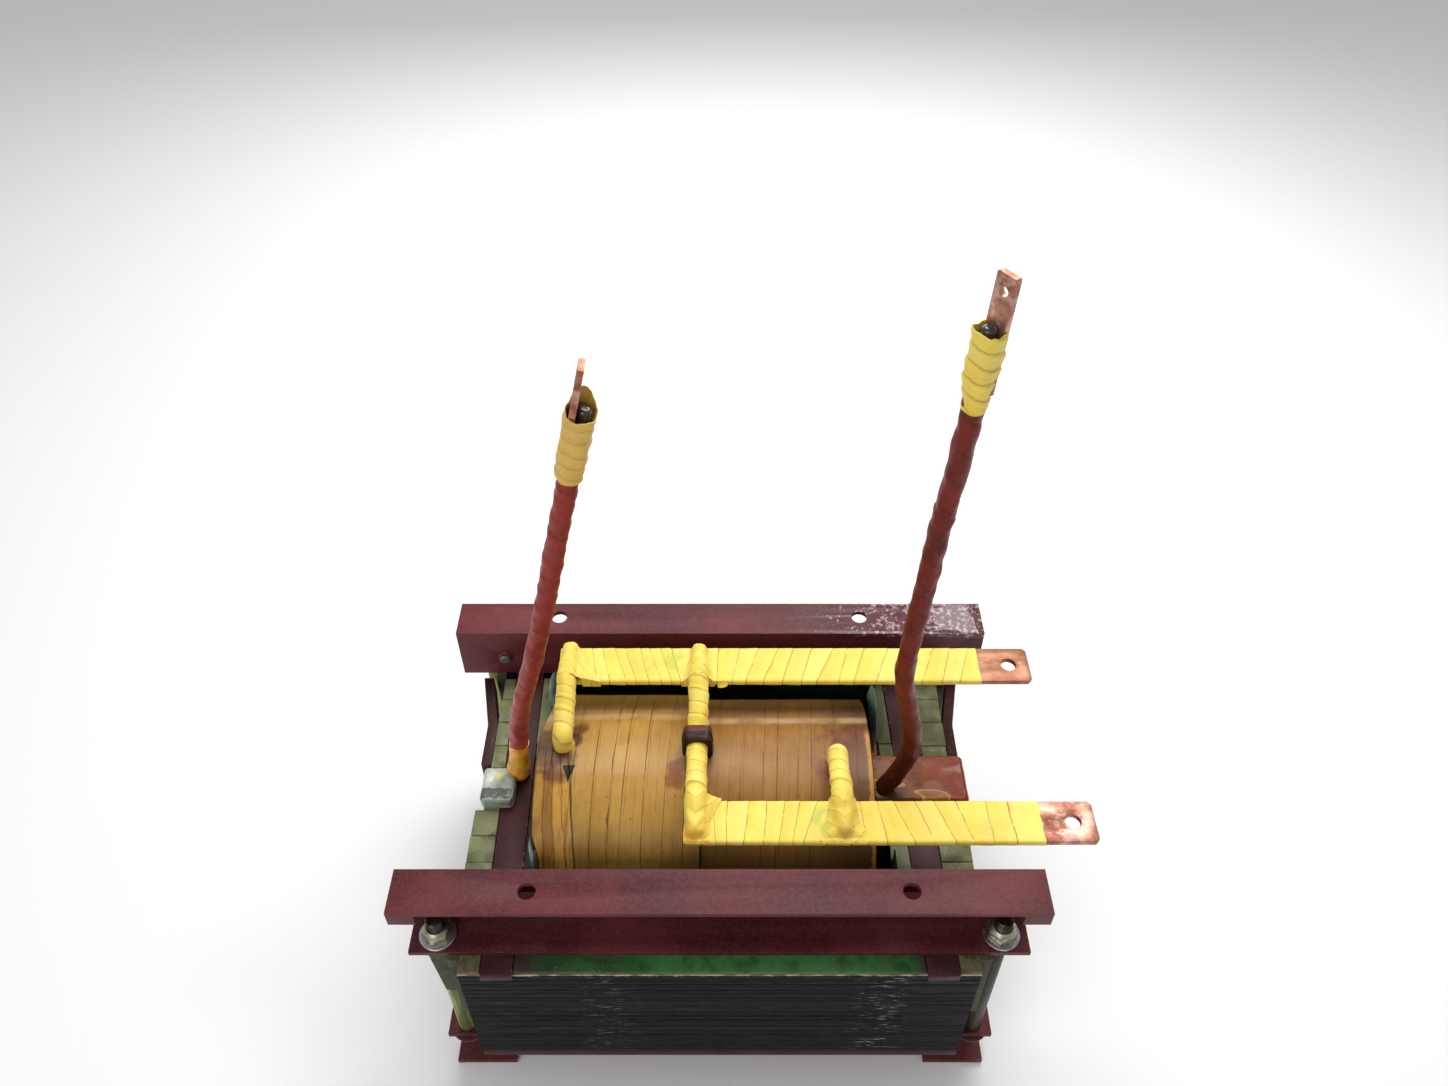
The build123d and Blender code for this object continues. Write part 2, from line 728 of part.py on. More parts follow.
def leads():
    lead_above_bar = bar_thickness / 2 + bar_tape_wall + lead_diameter / 2 - lead_seat
    over_front = front_bar_z + lead_above_bar
    over_rear = rear_bar_z + lead_above_bar
    tape_half = bar_width / 2 + bar_tape_wall
    above_coil = coil_top + lead_rise
    front_end = front_bar_y - tape_half - lead_past_front_bar
    rear_end = rear_bar_y + tape_half + lead_past_rear_bar
    front_tape = tape_outline(front_bar_left, front_bar_right, front_bar_y, front_bar_z)
    rear_tape = tape_outline(rear_bar_left, rear_bar_right, rear_bar_y, rear_bar_z)
    binding_back = binding_y + binding_length / 2
    binding_front = binding_y - binding_length / 2

    lead = bent_lead(rear_left_lead_x, rear_left_lead_start_y, rear_end, above_coil, over_rear, 0.0)
    add("rear_left_lead", lead - rear_tape)
    start, low = front_right_lead_start_y, above_coil - right_section_step
    lead = bent_lead(front_right_lead_x, start, front_end, low, over_front, right_section_step)
    add("front_right_lead", lead - front_tape)
    lead = straight_lead(rear_centre_lead_x, binding_back, rear_end, above_coil, over_rear)
    add("rear_centre_lead", lead - rear_tape)
    lead = straight_lead(front_centre_lead_x, binding_front, front_end, above_coil, over_front)
    add("front_centre_lead", lead - front_tape)

    middle = (rear_centre_lead_x + front_centre_lead_x) / 2
    binding = block(
        middle - binding_width / 2, middle + binding_width / 2,
        binding_front, binding_back, coil_top - lead_foot_depth, coil_top + binding_height,
    )
    binding = fillet(binding.edges().filter_by(Axis.Y).group_by(Axis.Z)[-1], binding_corner)
    left_section = section_outline(0.0, coil_left, coil_split)
    right_section = section_outline(right_section_step, coil_split, coil_right)
    add("lead_binding", binding - left_section - right_section)


def bend_radii(points):
    """The largest arc that the runs beside each corner allow."""
    radii = []
    for before, corner, after in zip(points, points[1:], points[2:]):
        first = Vector(*corner) - Vector(*before)
        second = Vector(*after) - Vector(*corner)
        turn = radians(first.get_angle(second))
        radii.append(0.45 * min(first.length, second.length) / tan(turn / 2))
    return radii


def riser(name, points, turn):
    """A stiff insulated conductor that stands up from the coil, with a bar terminal."""
    radii = bend_radii(points)
    print(name, "radii", [round(r) for r in radii])
    path = FilletPolyline(*points, radius=radii)
    add(name + "_riser", tube_along(path, riser_diameter / 2))

    axis = (Vector(*points[-1]) - Vector(*points[-2])).normalized()
    top = Vector(*points[-1])
    frame = Plane(origin=top, x_dir=Vector(0, 1, 0).cross(axis), z_dir=axis)
    local = frame * Rot(0, 0, turn)

    stack = conductor_diameter + terminal_thickness
    conductor_y = -stack / 2 + conductor_diameter / 2
    terminal_y = stack / 2 - terminal_thickness / 2
    mouth = collar_length - collar_overlap
    conductor = Cylinder(conductor_diameter / 2, mouth + conductor_proud, align=on_base)
    conductor = fillet(conductor.edges().group_by(Axis.Z)[-1], conductor_dome)
    add(name + "_conductor_end", local * Pos(0, conductor_y, 0) * conductor)

    bar = Box(terminal_width, terminal_thickness, mouth + terminal_proud, align=on_base)
    bar = fillet(bar.edges().filter_by(Axis.Y).group_by(Axis.Z)[-1], terminal_corner)
    eye = Rot(90, 0, 0) * Cylinder(terminal_eye_diameter / 2, 2 * terminal_thickness)
    bar = bar - Pos(0, 0, mouth + terminal_proud - terminal_eye_from_end) * eye
    add(name + "_terminal", local * Pos(0, terminal_y, 0) * bar)

    outer_low = riser_diameter / 2 + collar_wall
    wide = terminal_width + 2 * collar_wall
    deep = stack + 2 * collar_wall
    low = Pos(0, 0, -collar_overlap) * Circle(outer_low)
    middle = Pos(0, 0, collar_flare) * RectangleRounded(wide, deep, collar_corner)
    collar = loft([low, middle]) + extrude(middle, mouth - collar_flare)
    sheath = Cylinder(riser_diameter / 2, collar_overlap, align=on_base)
    collar = collar - Pos(0, 0, -collar_overlap) * sheath
    collar = collar - Box(terminal_width, stack, mouth, align=on_base)
    add(name + "_riser_tape", local * collar)


def kept_above(shape, level):
    """What is left of a shape above a level."""
    box = shape.bounding_box()
    low = min(box.min.Z, level) - 1
    return shape - block(box.min.X - 1, box.max.X + 1, box.min.Y - 1, box.max.Y + 1, low, level)


def risers():
    left_points = [
        (left_foot_x + dx, left_foot_y + dy, ledge_bottom + dz) for dx, dy, dz in left_riser_run
    ]
    right_points = [
        (right_foot_x + dx, right_foot_y + dy, lead_block_top + dz) for dx, dy, dz in right_riser_run
    ]
    riser("left", left_points, left_terminal_turn)
    riser("right", right_points, right_terminal_turn)

    start = Vector(*left_points[0])
    axis = (Vector(*left_points[1]) - start).normalized()
    frame = Plane(origin=start, x_dir=Vector(0, 1, 0).cross(axis), z_dir=axis)
    boot = Cylinder(boot_diameter / 2, boot_length, align=on_base)
    boot = fillet(boot.edges().filter_by(GeomType.CIRCLE), boot_rounding)
    boot = frame * boot - parts["left_riser"]
    add("left_riser_boot", kept_above(boot, ledge_bottom))
    parts["left_riser"] = kept_above(parts["left_riser"], ledge_bottom)
    parts["right_riser"] = kept_above(parts["right_riser"], lead_block_top)


def lead_blocks():
    """Resin-coated blocks that lock the riser feet on the yokes."""
    edge = half_length + block_overhang + lead_block_past_tiles
    right = block(coil_right, edge, right_block_front, right_block_back, lead_block_base, lead_block_top)
    right = fillet(right.edges().filter_by(Axis.Z), 6.0)
    right = fillet(right.edges().group_by(Axis.Z)[-1], 4.0)
    add("right_lead_block", right)
    left = block(
        -half_length - left_block_past_bar, left_foot_x,
        left_block_front, left_block_back, lead_block_base, lead_block_base + left_block_height,
    )
    left = fillet(left.edges().filter_by(Axis.Z), 5.0)
    left = fillet(left.edges().group_by(Axis.Z)[-1], 4.0)
    add("left_lead_block", left - parts["left_riser_boot"] - parts["left_riser"])


def place():
    """Moves everything so that the origin is under the middle of the whole box."""
    boxes = [shape.bounding_box() for shape in parts.values()]
    low = [min(getattr(box.min, side) for box in boxes) for side in "XYZ"]
    high = [max(getattr(box.max, side) for box in boxes) for side in "XYZ"]
    shift = Pos(-(low[0] + high[0]) / 2, -(low[1] + high[1]) / 2, -low[2])
    print("box", [round(value, 2) for value in low + high], "shift", shift.position)
    return {name: shift * shape for name, shape in parts.items()}


top_clamps()
base_channels()
tie_rods()
clamp_bolts()
core()
yoke_bars()
limb_boards()
yoke_blocks()
side_pieces()
coil()
slot_liners()
bus_bar("front", front_bar_left, front_bar_right, front_bare_length, front_bar_y, front_bar_z)
bus_bar("rear", rear_bar_left, rear_bar_right, rear_bare_length, rear_bar_y, rear_bar_z)
leads()
risers()
lead_blocks()

os.makedirs("parts", exist_ok=True)
for node, shape in place().items():
    export_step(shape, "parts/" + node + ".step")
print(len(parts), "nodes")
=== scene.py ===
# Isolation transformer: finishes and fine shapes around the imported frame
import math
import random

import bpy
import bmesh
from mathutils import Matrix, Vector, noise


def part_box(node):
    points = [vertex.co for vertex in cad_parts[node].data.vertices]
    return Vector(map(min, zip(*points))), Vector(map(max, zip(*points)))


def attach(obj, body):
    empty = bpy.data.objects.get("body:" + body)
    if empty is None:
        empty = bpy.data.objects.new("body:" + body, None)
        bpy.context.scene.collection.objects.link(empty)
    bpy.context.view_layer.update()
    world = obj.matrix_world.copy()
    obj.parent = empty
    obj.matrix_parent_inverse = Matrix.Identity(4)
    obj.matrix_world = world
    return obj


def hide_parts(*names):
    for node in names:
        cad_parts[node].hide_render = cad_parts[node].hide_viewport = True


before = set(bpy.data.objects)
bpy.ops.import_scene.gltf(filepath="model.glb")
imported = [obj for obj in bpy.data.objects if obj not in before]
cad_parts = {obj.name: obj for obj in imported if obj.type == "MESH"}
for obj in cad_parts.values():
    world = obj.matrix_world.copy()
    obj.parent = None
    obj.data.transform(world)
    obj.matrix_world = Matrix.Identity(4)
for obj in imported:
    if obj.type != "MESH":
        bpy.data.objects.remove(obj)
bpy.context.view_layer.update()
mm = 0.001
scene = bpy.context.scene
print("frame loaded:", len(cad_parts), "nodes")


def tint(red, green, blue):
    # a screen colour, 0 to 255, as the linear colour that shaders take
    linear = [v / 12.92 if v <= 0.04045 else ((v + 0.055) / 1.055) ** 2.4
              for v in (red / 255, green / 255, blue / 255)]
    return (*linear, 1.0)


class Wire:
    # a shader socket that Python can do sums with
    def __init__(self, finish, socket):
        self.finish = finish
        self.socket = socket

    def __add__(self, other):
        return self.finish.math("ADD", self, other)

    def __sub__(self, other):
        return self.finish.math("SUBTRACT", self, other)

    def __rsub__(self, other):
        return self.finish.math("SUBTRACT", other, self)

    def __mul__(self, other):
        return self.finish.math("MULTIPLY", self, other)

    def __truediv__(self, other):
        return self.finish.math("DIVIDE", self, other)

    def __pow__(self, other):
        return self.finish.math("POWER", self, other)

    def __abs__(self):
        return self.finish.math("ABSOLUTE", self)

    __radd__ = __add__
    __rmul__ = __mul__


class Finish:
    # one material: a Principled shader and the nodes that drive it
    def __init__(self, name, **fixed):
        self.material = bpy.data.materials.new(name)
        self.material.use_nodes = True
        self.tree = self.material.node_tree
        self.tree.nodes.clear()
        self.shader = self.tree.nodes.new("ShaderNodeBsdfPrincipled")
        result = self.tree.nodes.new("ShaderNodeOutputMaterial")
        self.tree.links.new(self.shader.outputs[0], result.inputs[0])
        self.texture = self.tree.nodes.new("ShaderNodeTexCoord")
        self.spot = Wire(self, self.texture.outputs["Object"])
        self.uv = Wire(self, self.texture.outputs["UV"])
        for socket, value in fixed.items():
            self.feed(socket.replace("_", " "), value)

    def feed(self, socket, value):
        self.join(value, self.shader.inputs[socket])

    def join(self, value, socket):
        if isinstance(value, Wire):
            self.tree.links.new(value.socket, socket)
        else:
            socket.default_value = value

    def node(self, kind, settings=None, inputs=None, output=0):
        made = self.tree.nodes.new(kind)
        for key, value in (settings or {}).items():
            setattr(made, key, value)
        for key, value in (inputs or {}).items():
            self.join(value, made.inputs[key])
        return Wire(self, made.outputs[output])

    def math(self, operation, *values):
        return self.node("ShaderNodeMath", {"operation": operation}, dict(enumerate(values)))

    def parts(self, vector):
        split = self.node("ShaderNodeSeparateXYZ", None, {0: vector}).socket.node
        return [Wire(self, socket) for socket in split.outputs]

    def place(self, stretch=(1, 1, 1), turn=(0, 0, 0), shift=(0, 0, 0)):
        inputs = {"Vector": self.spot, "Location": shift, "Rotation": turn, "Scale": stretch}
        return self.node("ShaderNodeMapping", None, inputs)

    def noise(self, scale, detail=3.0, rough=0.55, spot=None):
        inputs = {"Vector": spot or self.spot, "Scale": scale, "Detail": detail, "Roughness": rough}
        return self.node("ShaderNodeTexNoise", None, inputs)

    def cells(self, scale):
        return self.node("ShaderNodeTexVoronoi", None, {"Vector": self.spot, "Scale": scale})

    def random(self, value):
        return self.node("ShaderNodeTexWhiteNoise", {"noise_dimensions": "1D"}, {"W": value})

    def ease(self, value, low, high, start=0.0, end=1.0):
        # runs smoothly from start to end as value goes from low to high
        settings = {"interpolation_type": "SMOOTHSTEP", "clamp": True}
        return self.node("ShaderNodeMapRange", settings, {0: value, 1: low, 2: high, 3: start, 4: end})

    def mix(self, amount, first, second):
        # a colour is a wire, or red, green and blue as on a screen
        first, second = [c if isinstance(c, Wire) else tint(*c) for c in (first, second)]
        settings = {"data_type": "RGBA", "clamp_factor": True}
        return self.node("ShaderNodeMix", settings, {0: amount, 6: first, 7: second}, 2)

    def ground(self, amount, first, second):
        # the two colours that all others lie on
        self.feed("Base Color", self.mix(amount, first, second))

    def lay(self, amount, colour):
        # one more colour over those that lie there so far
        under = Wire(self, self.shader.inputs["Base Color"].links[0].from_socket)
        self.feed("Base Color", self.mix(amount, under, colour))

    def near(self, centre, radius, blur=0.5, ragged=0.0):
        # 1 inside a ball about centre, fading to 0 past radius
        inputs = {0: self.spot, 1: centre}
        distance = self.node("ShaderNodeVectorMath", {"operation": "DISTANCE"}, inputs, "Value")
        if ragged:
            distance = distance + (self.noise(52, 4, 0.65) - 0.5) * (ragged * radius)
        return self.ease(distance, radius * blur, radius, 1.0, 0.0)

    def bump(self, height, distance):
        inputs = {"Height": height, "Distance": distance, "Strength": 1.0}
        self.feed("Normal", self.node("ShaderNodeBump", None, inputs))


# Meshes

def pieceFrom(name, data, material):
    data.materials.clear()
    data.materials.append(material)
    piece = bpy.data.objects.new(name, data)
    scene.collection.objects.link(piece)
    return piece


def settle(piece, nodes, sharp=35):
    # the piece rides with the frame, stands for the nodes and is shaded smooth up to an angle
    piece.data.polygons.foreach_set("use_smooth", [True] * len(piece.data.polygons))
    piece.data.set_sharp_from_angle(angle=math.radians(sharp))
    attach(piece, "root")
    if nodes:
        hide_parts(*nodes)
    return piece


def baked(piece):
    # the piece with its modifiers worked out, as a plain mesh
    graph = bpy.context.evaluated_depsgraph_get()
    graph.update()
    data = bpy.data.meshes.new_from_object(piece.evaluated_get(graph))
    materials = list(piece.data.materials)
    piece.modifiers.clear()
    old = piece.data
    piece.data = data
    bpy.data.meshes.remove(old)
    if not data.materials:
        for material in materials:
            data.materials.append(material)
    return piece


def cleanCopy(node):
    # a CAD node's mesh with its doubles merged and its flat faces whole again
    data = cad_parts[node].data.copy()
    mesh = bmesh.new()
    mesh.from_mesh(data)
    bmesh.ops.remove_doubles(mesh, verts=mesh.verts, dist=0.00002)
    bmesh.ops.dissolve_limit(mesh, angle_limit=math.radians(1), verts=mesh.verts, edges=mesh.edges)
    mesh.to_mesh(data)
    mesh.free()
    return data


def rounded(piece, width, edgeMaterial=None):
    # the piece with its sharp edges rounded over
    rounding = piece.modifiers.new("rounding", "BEVEL")
    rounding.width = width
    rounding.segments = 2
    rounding.limit_method = "ANGLE"
    rounding.angle_limit = math.radians(38)
    if edgeMaterial:
        piece.data.materials.append(edgeMaterial)
        rounding.material = 1
    return baked(piece)


def softened(name, node, material, width, edgeMaterial=None):
    piece = pieceFrom(name, cleanCopy(node), material)
    return settle(rounded(piece, width, edgeMaterial), [node])


def walled(piece, thickness, offset=-1.0):
    # the surface with a wall
    wall = piece.modifiers.new("wall", "SOLIDIFY")
    wall.thickness = thickness
    wall.offset = offset
    return baked(piece)


def skin(name, rings, material, closed=True, caps=True, across=None, along=None):
    # rings of points joined into one surface; the UV map runs round each ring and along them
    count = len(rings[0])
    mesh = bmesh.new()
    layer = mesh.loops.layers.uv.new("UVMap")
    grid = [[mesh.verts.new(point) for point in ring] for ring in rings]
    across = across or [j / count for j in range(count + 1)]
    along = along or [i / (len(rings) - 1) for i in range(len(rings))]
    last = count if closed else count - 1
    for i in range(len(rings) - 1):
        for j in range(last):
            k = (j + 1) % count
            face = mesh.faces.new((grid[i][j], grid[i][k], grid[i + 1][k], grid[i + 1][j]))
            corners = ((across[j], along[i]), (across[j + 1], along[i]),
                       (across[j + 1], along[i + 1]), (across[j], along[i + 1]))
            for loop, corner in zip(face.loops, corners):
                loop[layer].uv = corner
    if caps:
        for ring, place in ((grid[0], along[0]), (grid[-1], along[-1])):
            middle = mesh.verts.new(sum((v.co for v in ring), Vector()) / count)
            for j in range(count):
                face = mesh.faces.new((ring[j], ring[(j + 1) % count], middle))
                for loop in face.loops:
                    loop[layer].uv = (0.5, place)
    bmesh.ops.recalc_face_normals(mesh, faces=mesh.faces)
    data = bpy.data.meshes.new(name)
    mesh.to_mesh(data)
    mesh.free()
    return pieceFrom(name, data, material)


def rippled(point, size, seed=0.0):
    # smooth noise from -1 to 1 with a given grain in metres
    return noise.noise(Vector(point) / size + Vector((seed, seed * 0.7, -seed)))


def smoothPath(points, spacing):
    # a NURBS line near the points, read back as an even run of places
    curve = bpy.data.curves.new("route", "CURVE")
    curve.dimensions = "3D"
    spline = curve.splines.new("NURBS")
    spline.points.add(len(points) - 1)
    for made, point in zip(spline.points, points):
        made.co = (*point, 1.0)
    spline.order_u = 3
    spline.use_endpoint_u = True
    spline.resolution_u = 24
    holder = bpy.data.objects.new("route", curve)
    data = bpy.data.meshes.new_from_object(holder)
    line = [v.co.copy() for v in data.vertices]
    bpy.data.objects.remove(holder)
    bpy.data.curves.remove(curve)
    bpy.data.meshes.remove(data)
    return evenly(line, spacing)


def evenly(line, spacing):
    # the same line with points at equal steps
    lengths = [0.0]
    for a, b in zip(line, line[1:]):
        lengths.append(lengths[-1] + (b - a).length)
    count = max(2, round(lengths[-1] / spacing))
    result = []
    k = 0
    for i in range(count + 1):
        target = lengths[-1] * i / count
        while k < len(line) - 2 and lengths[k + 1] < target:
            k += 1
        span = max(lengths[k + 1] - lengths[k], 1e-9)
        result.append(line[k].lerp(line[k + 1], (target - lengths[k]) / span))
    return result


def frames(line):
    # two directions across each point of a line, turned as little as possible from one to the next
    result = []
    side = Vector((1, 0, 0))
    for i, point in enumerate(line):
        ahead = (line[min(i + 1, len(line) - 1)] - line[max(i - 1, 0)]).normalized()
        side = (side - ahead * side.dot(ahead)).normalized()
        result.append((point, side, ahead.cross(side)))
    return result


def sleeve(name, line, radius, material, around=40):
    # a tube along a line; radius(distance, angle) may change along and around it
    rings = []
    along = []
    distance = 0.0
    for i, (point, side, other) in enumerate(frames(line)):
        if i:
            distance += (line[i] - line[i - 1]).length
        ring = []
        for j in range(around):
            angle = 2 * math.pi * j / around
            r = radius(distance, angle)
            ring.append(point + side * (math.cos(angle) * r) + other * (math.sin(angle) * r))
        rings.append(ring)
        along.append(distance)
    return skin(name, rings, material, along=along)


def layUv(piece, rule):
    # gives each corner a new place from its way round and its way along
    for loop in piece.data.uv_layers[0].data:
        loop.uv = rule(*loop.uv)


def turnsUv(piece, pitch):
    # u counts the turns along and round the tube, v is the way round in metres
    layUv(piece, lambda across, along: (along / pitch + across, across * 0.06))


def within(value):
    return min(1.0, max(0.0, value))


def eased(value, low, high):
    t = within((value - low) / (high - low))
    return t * t * (3 - 2 * t)


# Geometry Nodes

def openTree(name, inputs):
    # a tree with its named inputs, and the identifier of each input's socket
    tree = bpy.data.node_groups.new(name, "GeometryNodeTree")
    ids = {}
    for title, kind in (("Geometry", "Geometry"), *inputs.items()):
        socket = tree.interface.new_socket(title, in_out="INPUT", socket_type="NodeSocket" + kind)
        ids[title] = socket.identifier
    tree.interface.new_socket("Geometry", in_out="OUTPUT", socket_type="NodeSocketGeometry")
    return tree, ids


def closeTree(tree, inside, stack, links):
    # joins the nodes, each row a node with its output and a node with its input, then paints the result
    real, coat = tree.nodes.new("GeometryNodeRealizeInstances"), tree.nodes.new("GeometryNodeSetMaterial")
    outside = tree.nodes.new("NodeGroupOutput")
    ending = ((stack, 0, real, 0), (real, 0, coat, "Geometry"), (inside, "Finish", coat, "Material"),
              (coat, 0, outside, 0))
    for start, output, end, entry in links + ending:
        tree.links.new(start.outputs[output], end.inputs[entry])


def grown(name, data, group, **values):
    # what a tree makes of a mesh, with the tree's inputs set by their sockets' identifiers
    tree, ids = group
    piece = pieceFrom(name, data, values["Finish"])
    growth = piece.modifiers.new("growth", "NODES")
    growth.node_group = tree
    for title, value in values.items():
        growth[ids[title]] = value
    return baked(piece)


# Camera, floor and lights

view = {
    "lens": 29.33,
    "turn": 45.9,
    "place": (-0.0278, -0.799, 1.445),
}

room = {
    "floorReach": 12,
    "daylight": 0.42,
    "aim": (0, 0, 0.3),
    # each lamp's place, width, depth and power
    "lamps": {
        "overhead": ((0.2, 0.9, 2.6), 1.8, 1.0, 34),
        "rearStrip": ((0.9, 1.6, 1.9), 1.2, 0.3, 16),
        "frontFill": ((-1.3, -1.9, 2.2), 1.6, 1.2, 18),
        "rearWindow": ((-0.1, 2.6, 1.35), 2.2, 0.35, 16),
    },
}


def cameraAndStage():
    camera = bpy.data.cameras.new("camera")
    camera.lens = view["lens"]
    camera.sensor_width = 36.0
    camera.clip_start = 0.01
    holder = bpy.data.objects.new("camera", camera)
    scene.collection.objects.link(holder)
    holder.location = view["place"]
    holder.rotation_euler = (math.radians(view["turn"]), 0, 0)
    scene.camera = holder

    floor = Finish("floor", Roughness=0.9, Base_Color=(0.95, 0.95, 0.95, 1))
    mesh = bmesh.new()
    bmesh.ops.create_grid(mesh, x_segments=1, y_segments=1, size=room["floorReach"])
    data = bpy.data.meshes.new("floor")
    mesh.to_mesh(data)
    mesh.free()
    pieceFrom("floor", data, floor.material)

    world = bpy.data.worlds.new("room")
    world.use_nodes = True
    sky = world.node_tree.nodes["Background"]
    sky.inputs[0].default_value = (1.0, 1.0, 1.0, 1)
    sky.inputs[1].default_value = room["daylight"]
    scene.world = world
    for name, (spot, width, depth, power) in room["lamps"].items():
        light = bpy.data.lights.new(name, "AREA")
        light.shape = "RECTANGLE"
        light.size = width
        light.size_y = depth
        light.energy = power
        lamp = bpy.data.objects.new(name, light)
        scene.collection.objects.link(lamp)
        lamp.location = spot
        aim = Vector(room["aim"]) - Vector(spot)
        lamp.rotation_euler = aim.to_track_quat("-Z", "Y").to_euler()
    scene.view_settings.view_transform = "Standard"
    print("camera, floor and lights set")


# Steel clamps, feet and yoke bars

paintwork = {
    "edgeRound": 1.1 * mm,
    "topColour": (104, 42, 46),
    "deepColour": (74, 27, 33),
    "chipColour": (206, 176, 170),
    "barEdgeRound": 0.7 * mm,
}


def paintFinish(name, worn, paintedShade=0.0):
    # worn has pale chips, as on the rounded edges; a shade above 0 darkens the whole paint, as painted shade
    f = Finish(name, Specular_IOR_Level=0.28)
    cloud = f.noise(9, 4)
    speck = f.ease(f.noise(700, 2, 0.4), 0.70, 0.76)
    scratch = f.noise(60, 3, 0.6, f.place((1, 9, 9), (0.2, 0.3, 0.5)))
    scratches = f.ease(scratch, 0.70, 0.74) * f.ease(f.noise(14, 2), 0.5, 0.62)
    f.ground(f.ease(cloud, 0.35, 0.7), paintwork["deepColour"], paintwork["topColour"])
    f.lay(f.ease(f.noise(240, 3), 0.3, 0.75) * 0.25, (134, 70, 68))
    f.lay(speck * 0.28, paintwork["chipColour"])
    f.lay(scratches * 0.30, (168, 120, 116))
    f.lay(paintedShade, (44, 22, 26))
    if worn:
        chip = f.ease(f.noise(150, 4, 0.7), 0.55, 0.60) * f.ease(f.noise(30, 2), 0.42, 0.56)
        f.lay(chip * 0.85, paintwork["chipColour"])
    x, y, z = f.parts(f.spot)
    # the paint is still wet-looking at the rear right, glossier there, and its pale drops are painted highlights
    wet = f.ease(x + f.noise(30, 3) * 0.06, 0.06, 0.24) * f.ease(y, 0.10, 0.14) * f.ease(z, 0.350, 0.356)
    paintedHighlights = f.ease(f.noise(190, 3, 0.6), 0.72 - wet * 0.20, 0.76 - wet * 0.18) * f.ease(wet, 0.0, 0.3)
    f.lay(paintedHighlights * 0.6, (206, 184, 194))
    f.feed("Roughness", f.ease(cloud, 0.2, 0.8, 0.46, 0.56) - wet * 0.2 + speck * 0.1)
    f.feed("Coat Weight", wet * 0.3)
    f.bump(f.noise(340, 2, 0.5) * 0.5 + f.noise(120, 2) * 0.6 + f.noise(170, 4, 0.7) * wet * 9.0, 0.35 * mm)
    return f.material


def steelwork():
    paint = paintFinish("maroonPaint", 0)
    edge = paintFinish("maroonPaintEdges", 1)
    nodes = [s + t for s in ("front_", "rear_") for t in ("top_angle", "top_ledge", "base_channel")]
    for node in nodes:
        softened(node + "_painted", node, paint, paintwork["edgeRound"], edge)
    # the yoke bars take a darker copy of the paint, as painted shade
    shadedBarPaint = paintFinish("maroonPaintShaded", 0, 0.6)
    for node in ("left_yoke_bar", "right_yoke_bar"):
        softened(node + "_painted", node, shadedBarPaint, paintwork["barEdgeRound"], edge)
    print("steelwork painted")


# Core: stacked steel sheets under black varnish

core = {
    "packets": 12,
    "layersPerPacket": 8,
    "jitter": 0.22 * mm,
    "sheetShare": 0.995,
    "seed": 7,
}


def sheetFinish():
    f = Finish("blackVarnish", Specular_IOR_Level=0.14)
    thin = f.noise(60, 4, 0.6, f.place((0.35, 0.35, 14)))
    broad = f.noise(40, 4, 0.6, f.place((0.5, 0.5, 5)))
    rust = f.ease(f.noise(22, 4, 0.7), 0.62, 0.72)
    f.ground(f.ease(thin, 0.35, 0.75), (5, 5, 6), (24, 25, 27))
    f.lay(f.ease(broad, 0.6, 0.72) * 0.3, (48, 50, 52))
    f.lay(rust * 0.12, (60, 38, 30))
    # painted highlights: glints over the sheets, and light dashes in two upright bands
    glint = f.ease(f.noise(130, 3, 0.6, f.place((0.22, 0.22, 6))), 0.68, 0.74)
    f.lay(glint * 0.45, (112, 114, 112))
    x = f.parts(f.spot)[0]
    glintDashes = f.ease(f.noise(380, 3, 0.6, f.place((0.16, 0.16, 1.3))), 0.60, 0.68)
    bands = f.ease(abs(x - 0.141), 0.045, 0.0) + f.ease(abs(x + 0.155), 0.05, 0.0, 0.0, 0.5)
    f.lay(glintDashes * bands * 0.7, (176, 178, 178))
    f.lay(f.ease(f.noise(160, 4, 0.7, f.place((0.12, 0.12, 2.2))), 0.52, 0.66) * 0.5, (44, 45, 46))
    f.feed("Roughness", f.ease(thin, 0.3, 0.8, 0.42, 0.66))
    f.feed("Coat Weight", f.ease(broad, 0.55, 0.75, 0.0, 0.22))
    f.bump(thin * 0.8 + broad * 0.7 + f.noise(170, 4, 0.7, f.place((0.5, 0.5, 3))) * 0.6, 1.1 * mm)
    return f.material


def sheetStack():
    # Geometry Nodes: one thin block on each point, sized and nudged by its attributes
    tree, ids = openTree("sheetStack", {"Jitter": "Float", "Seed": "Int", "Finish": "Material"})
    made = tree.nodes.new
    inside, block = made("NodeGroupInput"), made("GeometryNodeMeshCube")
    size, spread = made("GeometryNodeInputNamedAttribute"), made("FunctionNodeRandomValue")
    size.data_type = spread.data_type = "FLOAT_VECTOR"
    size.inputs["Name"].default_value = "size"
    low, high, flip = made("ShaderNodeCombineXYZ"), made("ShaderNodeCombineXYZ"), made("ShaderNodeMath")
    flip.operation = "MULTIPLY"
    flip.inputs[1].default_value = -1.0
    move, stack = made("GeometryNodeSetPosition"), made("GeometryNodeInstanceOnPoints")
    closeTree(tree, inside, stack, (
        (inside, "Jitter", flip, 0), (flip, 0, low, "X"), (flip, 0, low, "Y"),
        (inside, "Jitter", high, "X"), (inside, "Jitter", high, "Y"),
        (low, 0, spread, "Min"), (high, 0, spread, "Max"), (inside, "Seed", spread, "Seed"),
        (inside, "Geometry", move, "Geometry"), (spread, "Value", move, "Offset"),
        (move, 0, stack, "Points"), (block, "Mesh", stack, "Instance"), (size, "Attribute", stack, "Scale"),
    ))
    return tree, ids


